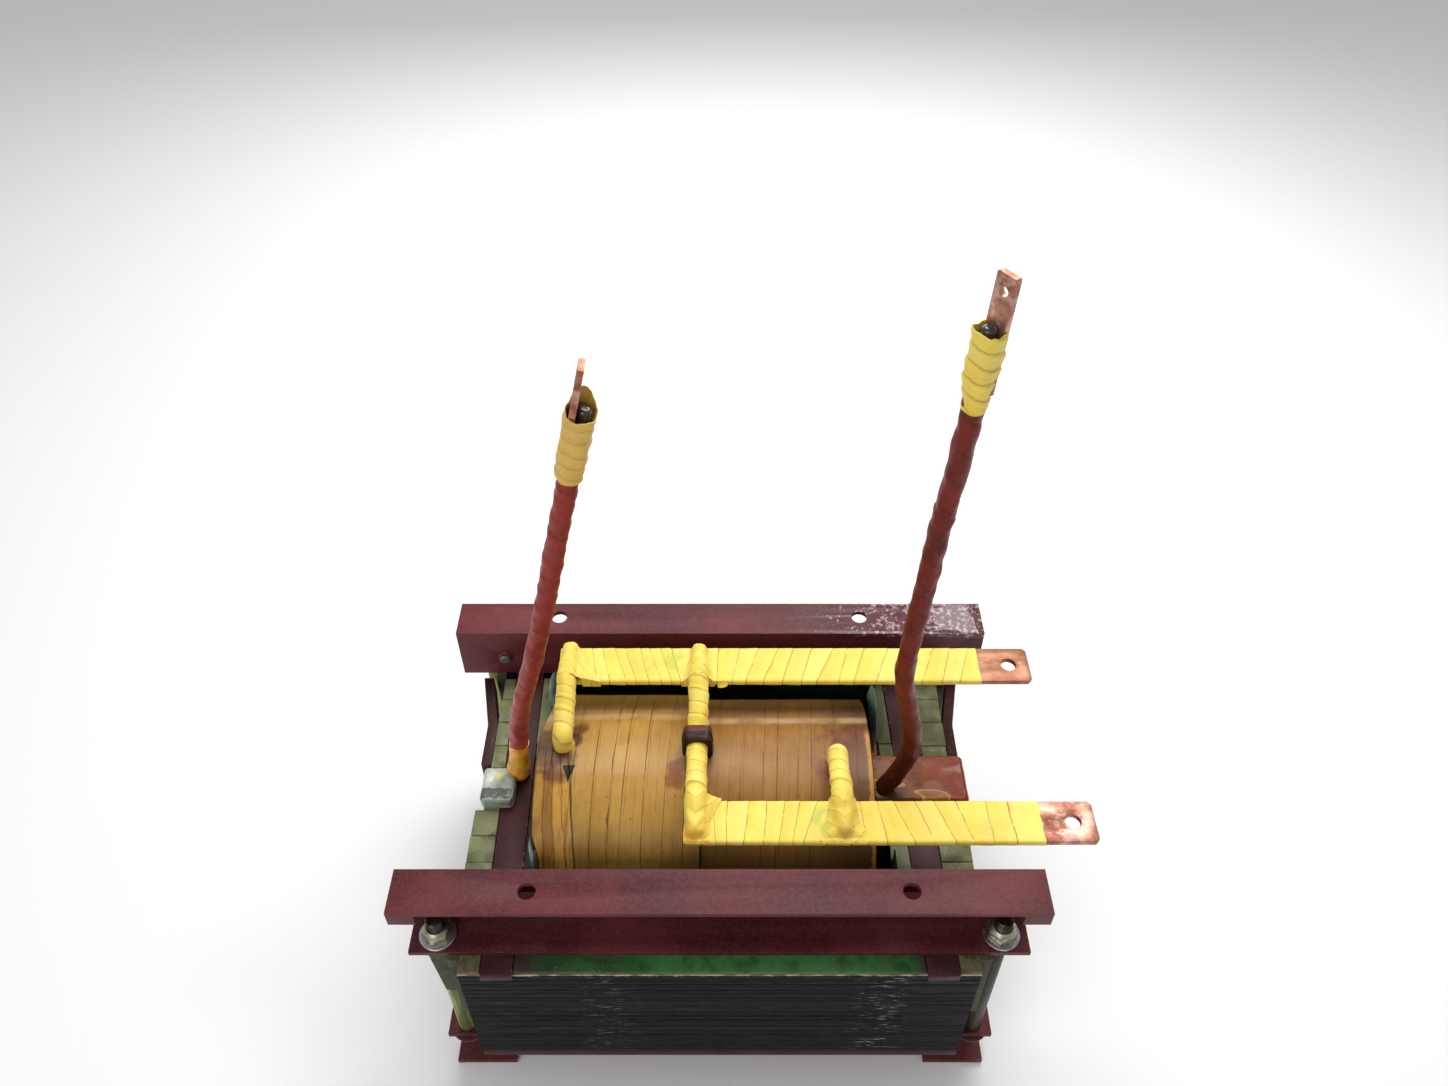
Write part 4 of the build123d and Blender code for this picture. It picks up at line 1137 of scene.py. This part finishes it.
def barsAndLeads():
    copper = copperFinish()
    flat = yellowFinish("yellowTape")
    ringed = yellowFinish("yellowTapeRings", True)
    rng = random.Random(taping["seed"])
    for node in ("front_bus_bar", "rear_bus_bar", "left_terminal", "right_terminal"):
        softened(node + "_copper", node, copper, taping["copperRound"])
    for node in ("front_bar_tape", "rear_bar_tape"):
        barTape(node, flat, rng)
    for k, node in enumerate(leadWork["ends"]):
        line, x, bar, rear = leadLine(node)
        whole = sum((b - a).length for a, b in zip(line, line[1:]))
        back, tip = leadWork["ends"][node][:2]
        over = bar[1].y - bar[0].y - back * mm
        rough = wrinkled(leadWork["pitch"], leadWork["step"], leadWork["lump"], k * 3.1, leadWork["radius"])

        def thinned(distance, angle):
            # the lead thins out over its bar and is blunt at its end
            t = within((distance - whole + over) / over)
            blunt = math.sqrt(within((whole - distance) / (4 * mm))) * 0.4 + 0.6
            return (rough(distance, angle) + (tip * mm - leadWork["radius"]) * t) * blunt

        piece = sleeve(node + "_taped", line, thinned, ringed)
        turnsUv(piece, leadWork["pitch"])
        settle(piece, [node], 50)
        drape(node, line, x, bar, rear, flat, k * 1.7)
    looseFlap(flat)
    bindingBlock()
    print("bars and leads taped")


# Upright conductors

risers = {
    # feet and runs in mm, turns in degrees
    "leftFoot": (-236.0, 7.0, 285.0),
    "leftRun": ((0, 0, 0), (10, -5, 80), (19, -12, 140), (43, -20, 223), (66, -20, 315), (85, -20, 399),
                (107, -20, 493)),
    "rightFoot": (187.0, -29.0, 312.0),
    "rightRun": ((0, 0, 0), (22, 0, 52), (22, 0, 98), (12, 0, 144), (2, 0, 186), (1, 0, 224), (6, 0, 300),
                 (11.5, 0, 406), (19, 0, 488), (22, 0, 556)),
    "originShift": -32.5,
    "leftTurn": 90.0,
    "rightTurn": -53.0,
    "radius": 10.2 * mm,
    # pitch, step and lumps of the tape on each
    "leftWraps": (19 * mm, 0.8 * mm, 1.0 * mm),
    "rightWraps": (33 * mm, 0.6 * mm, 1.3 * mm),
}

# the yellow tape at an upright's top
collars = {
    "length": 75 * mm,
    "overlap": 14 * mm,
    "wall": 0.9 * mm,
    "around": 56,
    "pitch": 15 * mm,
    "step": 1.5 * mm,
    "lump": 1.9 * mm,
    "mouthRise": 17 * mm,
    "mouthCut": 5 * mm,
    "ragged": 2.2 * mm,
    # in mm: the radius on the sheath, and how much wider and thicker it grows on the bar
    "radius": 10.9,
    "wider": 1.2,
    "thicker": 0.9,
}

orangeBoot = {
    "top": 356 * mm,
    "radius": 10.4 * mm,
    "wraps": (15 * mm, 0.8 * mm, 1.2 * mm),
    # in mm: how far the bulb stands out
    "swell": 3.0,
    "swellPlace": 13 * mm,
    "swellReach": 17 * mm,
    "bluntEnd": 10 * mm,
}


def sheathFinish(name, low, high, dark):
    f = Finish(name, Coat_Roughness=0.2, Specular_IOR_Level=0.2)
    cloud = f.noise(26, 4, 0.6)
    height = f.ease(f.parts(f.spot)[2] + cloud * 0.12, 0.36, 0.62)
    f.ground(height, low, high)
    f.lay(f.ease(f.noise(38, 4, 0.65), 0.45, 0.75) * 0.55, dark)
    groove = f.ease(f.math("FRACT", f.parts(f.uv)[0]), 0.0, 0.14, 1.0, 0.0)
    f.lay(groove * 0.45, dark)
    f.lay(f.ease(f.noise(300, 3), 0.66, 0.76) * 0.3, (214, 150, 130))
    f.feed("Roughness", f.ease(cloud, 0.3, 0.7, 0.34, 0.52))
    f.feed("Coat Weight", f.ease(cloud, 0.4, 0.7, 0.0, 0.14))
    f.bump(f.noise(180, 3) * 0.6 + f.noise(60, 3) * 0.8, 0.5 * mm)
    return f.material


def riserLine(side):
    foot = Vector(risers[side + "Foot"]) + Vector((risers["originShift"], 0, 0))
    return [(foot + Vector(step)) * mm for step in risers[side + "Run"]]


def riserTop(side):
    # origin, axis, width direction and thickness direction at a riser's upper end
    points = riserLine(side)
    axis = (points[-1] - points[-2]).normalized()
    wide = Vector((0, 1, 0)).cross(axis).normalized()
    other = axis.cross(wide)
    turn = math.radians(risers[side + "Turn"])
    return (points[-1], axis, wide * math.cos(turn) + other * math.sin(turn),
            other * math.cos(turn) - wide * math.sin(turn))


def collar(side, tape):
    # tape round the sheath's end, the conductor and the bar, with a ragged mouth
    origin, axis, wide, thick = riserTop(side)
    low, high = -collars["overlap"], collars["length"] - collars["overlap"]
    around, pitch = collars["around"], collars["pitch"]
    left = side == "left"
    rings, along = [], []
    for i in range(around + 1):
        t = i / around
        ring = []
        for j in range(around):
            angle = 2 * math.pi * j / around
            c, s = math.cos(angle), math.sin(angle)
            mouth = 0.0
            if left:
                # the mouth stands up behind the bar and is cut back in front of it
                mouth = collars["mouthRise"] * max(0.0, c) ** 3
                mouth -= collars["mouthCut"] * max(0.0, -c) * (0.7 + 0.5 * s)
            mouth += collars["ragged"] * noise.noise(Vector((c * 2.2, s * 2.2, 3.0 if left else 9.0)))
            height = low + (high + mouth - low) * t
            height += 1.6 * mm * rippled((c * 9 * mm, s * 9 * mm, t * 0.05), 0.012, 1.0)
            grow = eased(height, -6 * mm, 20 * mm)
            squareness = 1 + 0.16 * grow * (1 - abs(c * c - s * s))
            r = Vector((c * (collars["radius"] + collars["wider"] * grow),
                        s * (collars["radius"] + collars["thicker"] * grow))) * mm * squareness
            phase = (height / pitch + angle / (2 * math.pi)) % 1.0
            rise = collars["step"] * (phase if phase < 0.86 else (1 - phase) / 0.14 * 0.86)
            lump = noise.noise(Vector((c * 1.3, s * 1.3, height * 42 + (0 if left else 5))))
            scale = 1 + (rise + collars["lump"] * lump) / (11 * mm)
            ring.append(origin + axis * height + wide * r.x * scale + thick * r.y * scale)
        rings.append(ring)
        along.append(low + (high - low) * t)
    piece = skin(side + "_riser_tape_wrap", rings, tape, caps=False, along=along)
    turnsUv(piece, pitch)
    settle(walled(piece, collars["wall"]), [side + "_riser_tape"], 50)


def uprights():
    left = sheathFinish("terracottaSheath", (184, 84, 72), (150, 52, 42), (98, 34, 28))
    right = sheathFinish("redBrownSheath", (70, 24, 16), (120, 38, 28), (48, 16, 12))
    aged, ringed = yellowFinish("agedTapeRings", True, 0.75), bpy.data.materials["yellowTapeRings"]
    for side, finish, tape, seed in (("left", left, aged, 4.4), ("right", right, ringed, 7.7)):
        line = smoothPath(riserLine(side), 2.2 * mm)
        wraps = risers[side + "Wraps"]
        radius = wrinkled(*wraps, seed, risers["radius"])
        piece = sleeve(side + "_riser_sheath", line, radius, finish, around=36)
        turnsUv(piece, wraps[0])
        settle(piece, [side + "_riser"], 50)
        collar(side, tape)
    black = Finish("blackResin", Coat_Weight=1.0, Coat_Roughness=0.06, Roughness=0.3)
    black.ground(black.noise(90, 3), (12, 12, 14), (44, 40, 42))
    black.bump(black.noise(150, 3), 1.2 * mm)
    for side in ("left", "right"):
        node = side + "_conductor_end"
        softened(side + "_conductor_resin", node, black.material, 0.5 * mm)
    orange = Finish("orangeBoot", Coat_Weight=0.8, Coat_Roughness=0.1, Roughness=0.34)
    orange.ground(orange.ease(orange.noise(60, 4, 0.6), 0.35, 0.65), (250, 156, 26), (255, 204, 70))
    orange.lay(orange.ease(orange.noise(40, 3), 0.58, 0.68) * 0.4, (176, 80, 20))
    orange.bump(orange.noise(110, 3), 1.0 * mm)
    foot = [p for p in smoothPath(riserLine("left"), 2 * mm) if p.z < orangeBoot["top"]]
    rough = wrinkled(*orangeBoot["wraps"], 2.0, orangeBoot["radius"])

    def bulb(distance, angle):
        # a bulb low down that thins out to the sheath
        swell = math.exp(-((distance - orangeBoot["swellPlace"]) / orangeBoot["swellReach"]) ** 2)
        near = min(1.0, distance / orangeBoot["bluntEnd"])
        blunt = 0.45 + 0.55 * math.sqrt(1 - (1 - near) ** 2)
        return (rough(distance, angle) + (orangeBoot["swell"] * swell + 0.7) * mm) * blunt

    piece = sleeve("left_riser_boot_resin", foot, bulb, orange.material)
    settle(piece, ["left_riser_boot"], 60)
    print("risers finished")


# Studs, nuts and washers

hardware = {
    "pitch": 2.5 * mm,
    "threadDepth": 1.3 * mm,
    "stepsPerTurn": 6,
    "radius": 9 * mm,
    "exposed": 34 * mm,
    "plainDepth": 0.4 * mm,
    "around": 28,
    # how far the edges are rounded over
    "nutRound": 0.7 * mm,
    "washerRound": 0.5 * mm,
    "boltRound": 0.35 * mm,
    "sleeveRound": 0.2 * mm,
}


def zincFinish(name, first, second, rough):
    # the paint of the feet went over the lower ones as well
    f = Finish(name)
    cloud = f.noise(70, 4, 0.6)
    grime = f.ease(f.noise(120, 4, 0.7), 0.52, 0.66)
    painted = f.ease(f.parts(f.spot)[2], 0.16, 0.12)
    f.ground(f.ease(cloud, 0.3, 0.7), first, second)
    f.lay(grime * 0.45, (64, 58, 50))
    f.lay(painted, paintwork["deepColour"])
    f.feed("Metallic", 1.0 - painted)
    f.feed("Roughness", f.ease(cloud, 0.3, 0.7, rough, rough + 0.16) + grime * 0.2 + painted * 0.2)
    f.bump(f.noise(400, 3), 0.15 * mm)
    return f.material


def stud(number, x, y, low, high, finish):
    # threaded where it shows, plain between
    radius, pitch, around = hardware["radius"], hardware["pitch"], hardware["around"]
    count = round((high - low) / (pitch / hardware["stepsPerTurn"]))
    rings = []
    for i in range(count + 1):
        z = low + (high - low) * i / count
        fromEnd = min(z - low, high - z)
        threaded = fromEnd < hardware["exposed"]
        if not threaded and i % 12:
            continue
        tip = min(1.0, (fromEnd + 0.4 * mm) / (1.4 * mm))
        ring = []
        for j in range(around):
            angle = 2 * math.pi * j / around
            phase = (z / pitch - j / around) % 1.0
            depth = hardware["threadDepth"] * abs(2 * phase - 1) if threaded else hardware["plainDepth"]
            r = (radius - depth) * (0.84 + 0.16 * tip)
            ring.append(Vector((x + r * math.cos(angle), y + r * math.sin(angle), z)))
        rings.append(ring)
    settle(skin("stud_%d" % number, rings, finish), ["tie_rods"], 50)


def fasteners():
    dark = zincFinish("darkStud", (58, 56, 52), (96, 92, 84), 0.34)
    washer = zincFinish("brightZinc", (196, 200, 204), (226, 228, 230), 0.22)
    nut = zincFinish("yellowZinc", (150, 146, 120), (196, 194, 172), 0.28)
    low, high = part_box("tie_rods")
    inset = Vector((hardware["radius"], hardware["radius"], 0))
    near, far = low + inset, high - inset
    for number, (x, y) in enumerate(((near.x, near.y), (near.x, far.y), (far.x, near.y), (far.x, far.y))):
        stud(number + 1, x, y, low.z, high.z, dark)
    softened("tie_rod_washers_zinc", "tie_rod_washers", washer, hardware["washerRound"])
    softened("tie_rod_nuts_zinc", "tie_rod_nuts", nut, hardware["nutRound"])
    paint, worn = bpy.data.materials["maroonPaint"], bpy.data.materials["maroonPaintEdges"]
    dull = zincFinish("dullZinc", (104, 100, 98), (142, 138, 134), 0.42)
    softened("clamp_bolts_zinc", "clamp_bolts", dull, hardware["boltRound"])
    for node, slot in (("clamp_bolt_nuts", "zinc_nut"), ("clamp_bolt_washers", "zinc_washer")):
        softened(node + "_painted", node, paint, hardware["boltRound"], worn)
    tube = Finish("oliveSleeve", Roughness=0.45, Specular_IOR_Level=0.3)
    x = tube.parts(tube.spot)[0]
    streak = tube.noise(120, 3, 0.6, tube.place((1, 1, 0.06)))
    tube.ground(tube.ease(streak, 0.42, 0.6), (92, 98, 44), (184, 188, 96))
    right = tube.mix(tube.ease(streak, 0.42, 0.6), (34, 32, 22), (72, 62, 40))
    tube.lay(tube.ease(x, -0.02, 0.02), right)
    tube.lay(tube.ease(tube.noise(70, 4), 0.5, 0.7) * 0.5, (70, 44, 30))
    tube.bump(tube.noise(150, 2), 0.3 * mm)
    width = hardware["sleeveRound"]
    softened("tie_rod_sleeves_streaked", "tie_rod_sleeves", tube.material, width)
    print("fasteners finished")


# Boards and tiles

boards = {
    "edgeRound": 0.7 * mm,
    "seed": 13,
    # how far tiles are out of line, and their turn
    "tileShift": 0.5 * mm,
    "tileTurn": math.radians(0.7),
    "fibres": 900,
    "fibreLength": 3.2 * mm,
    "fibreThick": 0.2 * mm,
    "fibreSeed": 5,
    "paperWall": 0.3 * mm,
    "paperSteps": 420,
    "filmWall": 0.35 * mm,
    # corners of the slot film that stand up and lean out: foot, rear end, front end, top, lean, all in mm
    "filmCorners": {
        "rear_left": (-233.0, 150.0, 74.0, 314.0, -9.0),
        "rear_right": (151.0, 126.0, 42.0, 318.0, 5.0),
        "front_left": (-234.0, -82.0, -124.0, 312.0, -7.0),
    },
}


def boardFinish(name, light, dark, grime, rough=0.6, coat=0.0):
    f = Finish(name, Coat_Roughness=0.2, Specular_IOR_Level=0.3)
    cloud = f.noise(16, 5, 0.65)
    f.ground(f.ease(cloud, 0.32, 0.68), dark, light)
    f.lay(f.ease(f.noise(60, 4, 0.7), 0.54, 0.72) * 0.5, grime)
    f.lay(f.ease(f.noise(30, 1), 0.50, 0.53) * 0.3, grime)
    f.lay(f.ease(f.noise(420, 2), 0.66, 0.74) * 0.35, (206, 204, 186))
    f.feed("Roughness", f.ease(cloud, 0.3, 0.7, rough, rough + 0.14))
    f.feed("Coat Weight", f.ease(f.noise(20, 3), 0.4, 0.65, 0.0, coat))
    f.bump(f.noise(220, 3) * 0.5 + f.noise(50, 3) * 0.7, 0.45 * mm)
    return f


def limbBoardFinish():
    # green board that shows olive past the clamp's end lips and dark just inside them
    f = boardFinish("greenBoard", (44, 98, 44), (27, 68, 28), (22, 42, 24), 0.4, 0.4)
    low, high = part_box("front_limb")
    t = (f.parts(f.spot)[0] - low.x) / (high.x - low.x) + (f.noise(40, 3) - 0.5) * 0.03
    grain = f.ease(f.noise(60, 4, 0.7), 0.4, 0.7)
    dark = f.mix(grain, (52, 30, 28), (36, 44, 32))
    f.lay(f.ease(t, 0.28, 0.42) * f.ease(t, 0.90, 0.78) * 0.75, f.mix(grain, (66, 128, 62), (38, 92, 38)))
    f.lay(f.ease(t, 0.17, 0.13), dark)
    f.lay(f.ease(t, 0.87, 0.90), dark)
    outside = f.ease(t, 0.082, 0.072) + f.ease(t, 0.925, 0.935)
    f.lay(outside, f.mix(grain, (104, 102, 70), (58, 52, 36)))
    return f.material


def filmCorner(name, corner, film):
    x, rearY, frontY, top, lean = (value * mm for value in corner)
    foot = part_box("front_limb")[1].z + 1 * mm
    rings = []
    for i in range(11):
        t = i / 10
        ring = []
        for j in range(25):
            s = j / 24
            y = rearY + (frontY - rearY) * s
            crown = 1 - 0.35 * (2 * s - 1) ** 4 - 0.12 * abs(rippled((0, y, 0), 0.02, 2.0))
            out = lean * t * t * (0.7 + 0.3 * math.sin(4 * s))
            spot = Vector((x + out, y, foot + (top - foot) * t * crown))
            spot.x += 0.8 * mm * rippled(spot, 0.03, 7.0)
            ring.append(spot)
        rings.append(ring)
    piece = skin("slot_film_" + name, rings, film, closed=False, caps=False)
    settle(walled(piece, boards["filmWall"]), [])


def raggedEdge(name, y, outward, material):
    # the torn pale edge of the paper under a limb board
    low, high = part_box("front_limb")
    rings = []
    count = boards["paperSteps"]
    for i in range(count + 1):
        x = low.x + (high.x - low.x) * i / count
        torn = 0.9 + 1.1 * abs(noise.noise(Vector((x * 160, y, 0))))
        torn += 0.8 * noise.noise(Vector((x * 40, y, 3)))
        droop = 0.4 * noise.noise(Vector((x * 90, y, 5)))
        rings.append([Vector((x, y - outward * 3 * mm, high.z + 0.5 * mm)),
                      Vector((x, y + outward * torn * mm * 0.5, high.z + 0.5 * mm)),
                      Vector((x, y + outward * torn * mm, high.z + (droop - 0.3) * mm))])
    piece = skin(name, rings, material, closed=False, caps=False)
    settle(walled(piece, boards["paperWall"]), [])


def loosened(node, shift, tilt, seed):
    # the node's mesh with each of its solids laid a little out of line, as pieces set by hand are
    data = cleanCopy(node)
    mesh = bmesh.new()
    mesh.from_mesh(data)
    rng = random.Random(seed)
    waiting = set(mesh.verts)
    while waiting:
        island, edge = set(), [min(waiting, key=lambda v: v.index)]
        while edge:
            vert = edge.pop()
            if vert in island:
                continue
            island.add(vert)
            edge += [e.other_vert(vert) for e in vert.link_edges]
        waiting -= island
        verts = sorted(island, key=lambda v: v.index)
        centre = sum((v.co for v in verts), Vector()) / len(verts)
        move = Vector((rng.uniform(-shift, shift), rng.uniform(-shift, shift), rng.uniform(0, shift)))
        turn = Matrix.Rotation(rng.uniform(-tilt, tilt), 3, "Z")
        turn = turn @ Matrix.Rotation(rng.uniform(-tilt, tilt) * 0.4, 3, "Y")
        for vert in verts:
            vert.co = centre + turn @ (vert.co - centre) + move
    mesh.to_mesh(data)
    mesh.free()
    return data


def fibreTree():
    # Geometry Nodes: fine tapered threads along an edge
    inputs = {"Count": "Int", "Length": "Float", "Thickness": "Float", "Seed": "Int", "Finish": "Material"}
    tree, ids = openTree("frayedThreads", inputs)
    made = tree.nodes.new
    inside, thread = made("NodeGroupInput"), made("GeometryNodeMeshCone")
    toCurve, spread = made("GeometryNodeMeshToCurve"), made("GeometryNodeCurveToPoints")
    thread.inputs["Vertices"].default_value = 4
    thread.inputs["Side Segments"].default_value = 2
    turn, along, scale = map(made, ["FunctionNodeRandomValue"] * 3)
    sway = Vector((0.0012, 0.0008, 0.0006))
    for node, low, high in ((turn, (0.7, -1.0, -1.3), (2.3, 1.0, 1.3)), (along, -sway, sway)):
        node.data_type = "FLOAT_VECTOR"
        node.inputs["Min"].default_value = low
        node.inputs["Max"].default_value = high
    scale.inputs[2].default_value = 0.25
    scale.inputs[3].default_value = 1.0
    move, stack = made("GeometryNodeSetPosition"), made("GeometryNodeInstanceOnPoints")
    closeTree(tree, inside, stack, (
        (inside, "Seed", turn, "Seed"), (inside, "Seed", along, "Seed"), (inside, "Seed", scale, "Seed"),
        (inside, "Geometry", toCurve, 0), (toCurve, 0, spread, 0), (inside, "Count", spread, "Count"),
        (spread, 0, move, "Geometry"), (along, "Value", move, "Offset"), (move, 0, stack, "Points"),
        (inside, "Length", thread, "Depth"), (inside, "Thickness", thread, "Radius Bottom"),
        (thread, 0, stack, "Instance"), (turn, "Value", stack, "Rotation"), (scale, 1, stack, "Scale"),
    ))
    return tree, ids


def frayedEdge(name, y, material, group):
    low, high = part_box("front_limb")
    z = high.z + 0.4 * mm
    data = bpy.data.meshes.new(name)
    data.from_pydata([(low.x, y, z), (high.x, y, z)], [(0, 1)], [])
    piece = grown(name, data, group, Count=boards["fibres"], Length=boards["fibreLength"],
                  Thickness=boards["fibreThick"], Seed=boards["fibreSeed"], Finish=material)
    settle(piece, [])


def insulation():
    green = limbBoardFinish()
    olive = boardFinish("oliveBoard", (140, 144, 104), (100, 106, 72), (58, 58, 38), 0.62, 0.25)
    darkOlive = boardFinish("darkOliveBoard", (96, 98, 70), (62, 64, 44), (40, 36, 26), 0.6)
    maroon = boardFinish("maroonBoard", (72, 28, 31), (46, 18, 22), (28, 14, 15), 0.55, 0.1)
    # the slot liners' film is painted nearly black, as painted shade in the gaps beside the coil; its corners
    # that stand up take a paler copy of it, as painted light
    film = boardFinish("tealFilm", (22, 52, 46), (8, 20, 19), (5, 10, 10), 0.2, 0.6)
    litFilm = boardFinish("tealFilmLit", (186, 208, 196), (112, 146, 134), (60, 84, 78), 0.26, 0.6)
    paper = boardFinish("varnishedPressboard", (150, 112, 62), (112, 78, 40), (60, 38, 22), 0.45, 0.5)
    turns = boardFinish("windingTurns", (176, 112, 76), (140, 82, 54), (90, 48, 30), 0.4)
    # the inner tiles on the left are darkened in front with painted shade
    x, y = olive.parts(olive.spot)[:2]
    innerTileShade = olive.ease(x, -0.258, -0.252) * olive.ease(x, -0.05, -0.1) * olive.ease(y, 0.04, 0.03)
    olive.lay(innerTileShade * 0.8, (30, 28, 28))
    thread = Finish("frayedThread", Roughness=0.8, Specular_IOR_Level=0.2)
    thread.ground(thread.ease(thread.noise(60, 3), 0.4, 0.6), (150, 116, 88), (216, 190, 158))
    for node in ("front_limb_boards", "rear_limb_boards"):
        softened(node + "_edges", node, green, boards["edgeRound"])
    for k, node in enumerate(("left_yoke_blocks", "right_yoke_blocks")):
        data = loosened(node, boards["tileShift"], boards["tileTurn"], boards["seed"] + k)
        piece = pieceFrom(node + "_laid", data, olive.material)
        settle(rounded(piece, boards["edgeRound"]), [node])
    strips = ("front_base_strip", "rear_base_strip", "left_side_rail", "right_side_rail")
    sections = ("inner_winding", "left_outer_section", "right_outer_section")
    for nodes, ending, finish, slot, width in (
            (("side_boards", "left_rod_guard"), "_edges", darkOlive, "olive_board", 1.0),
            (strips, "_edges", maroon, "maroon_board", 1.2),
            (("front_slot_liner", "rear_slot_liner"), "_film", film, "liner_film", 0.25),
            (("coil_former", "winding_barrier", "coil_end_cheeks"), "_edges", paper, "pressboard", 0.5),
            (sections, "_turns", turns, "winding", 0.8)):
        for node in nodes:
            softened(node + ending, node, finish.material, width * mm)
    group = fibreTree()
    for side, y, outward in (("front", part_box("front_limb")[0].y, -1), ("rear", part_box("rear_limb")[1].y, 1)):
        frayedEdge(side + "_board_threads", y, thread.material, group)
        raggedEdge(side + "_board_paper", y, outward, thread.material)
    for name, corner in boards["filmCorners"].items():
        filmCorner(name, corner, litFilm.material)
    print("boards finished")


# Resin blocks

resin = {
    "voxels": {"right": 2.0 * mm, "left": 1.6 * mm},
    "seeds": {"right": 3.0, "left": 8.0},
    "smoothings": 4,
    # how far the skin sways in and out, growing over this height from the foot
    "sway": 1.3 * mm,
    "fineSway": 0.3 * mm,
    "stillFoot": 8 * mm,
}


def resinBlocks():
    brown = Finish("brownResin", Coat_Weight=0.12, Coat_Roughness=0.08, Specular_IOR_Level=0.12)
    cloud = brown.noise(22, 4, 0.6)
    drips = brown.noise(30, 4, 0.6, brown.place((0.7, 1.6, 1)))
    x = brown.parts(brown.spot)[0]
    brown.ground(brown.ease(cloud, 0.35, 0.68), (98, 48, 12), (138, 78, 26))
    brown.lay(brown.ease(x + cloud * 0.05, 0.220, 0.246) * 0.8, (122, 46, 26))
    # painted shadow of the riser at its foot
    brown.lay(brown.near((0.156, -0.042, 0.31), 0.036, 0.3, 0.6) * 0.8, (62, 44, 20))
    # lighter pools with pale rims, painted highlights standing in for gloss on the resin
    glossPools = brown.noise(24, 1.0, 0.4, brown.place((0.8, 1.5, 1), shift=(0.13, 0.4, 0)))
    glossRims = brown.ease(glossPools, 0.60, 0.62) * brown.ease(glossPools, 0.66, 0.63)
    brown.lay(brown.ease(glossPools, 0.60, 0.63) * 0.5, (150, 106, 34))
    brown.lay(glossRims * 0.35, (216, 170, 100))
    brown.feed("Roughness", brown.ease(cloud, 0.3, 0.7, 0.2, 0.34))
    brown.bump(drips + brown.noise(26, 2) * 0.8, 1.6 * mm)
    grey = Finish("greyResin", Coat_Weight=0.5, Coat_Roughness=0.1)
    cloud = grey.noise(40, 4, 0.6)
    x, y = grey.parts(grey.spot)[:2]
    grey.ground(grey.ease(cloud, 0.35, 0.66), (132, 142, 124), (184, 190, 178))
    fold = y + (grey.noise(80, 3) - 0.5) * 0.010
    hollow = grey.ease(fold, -0.039, -0.037) * grey.ease(fold, -0.024, -0.026) * grey.ease(x, -0.268, -0.272)
    grey.lay(grey.ease(fold, -0.022, -0.026), (164, 182, 164))
    grey.lay(hollow * 0.9, (70, 74, 64))
    grey.lay(grey.near((-0.288, -0.007, 0.304), 0.010, 0.1, 2.6) * 0.8, (228, 200, 84))
    # a painted highlight: a white glint at the left
    grey.lay(grey.near((-0.298, -0.010, 0.304), 0.016, 0.1, 2.0) * 0.6, (222, 228, 228))
    grey.feed("Roughness", 0.28)
    grey.bump(grey.noise(90, 3) - hollow * 1.5, 1.0 * mm)
    for side, finish in (("right", brown), ("left", grey)):
        node = side + "_lead_block"
        piece = pieceFrom(node + "_resin", cleanCopy(node), finish.material)
        again = piece.modifiers.new("again", "REMESH")
        again.mode = "VOXEL"
        again.voxel_size = resin["voxels"][side]
        calm = piece.modifiers.new("calm", "SMOOTH")
        calm.iterations = resin["smoothings"]
        baked(piece)
        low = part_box(node)[0].z
        seed = resin["seeds"][side]
        for vert in piece.data.vertices:
            sway = resin["sway"] * rippled(vert.co, 0.026, seed)
            sway += resin["fineSway"] * rippled(vert.co, 0.011, seed)
            vert.co += vert.normal * sway * within((vert.co.z - low) / resin["stillFoot"])
        settle(piece, [node], 80)
    print("resin blocks finished")


cameraAndStage()
steelwork()
coreStack()
coilWraps()
barsAndLeads()
uprights()
fasteners()
insulation()
resinBlocks()
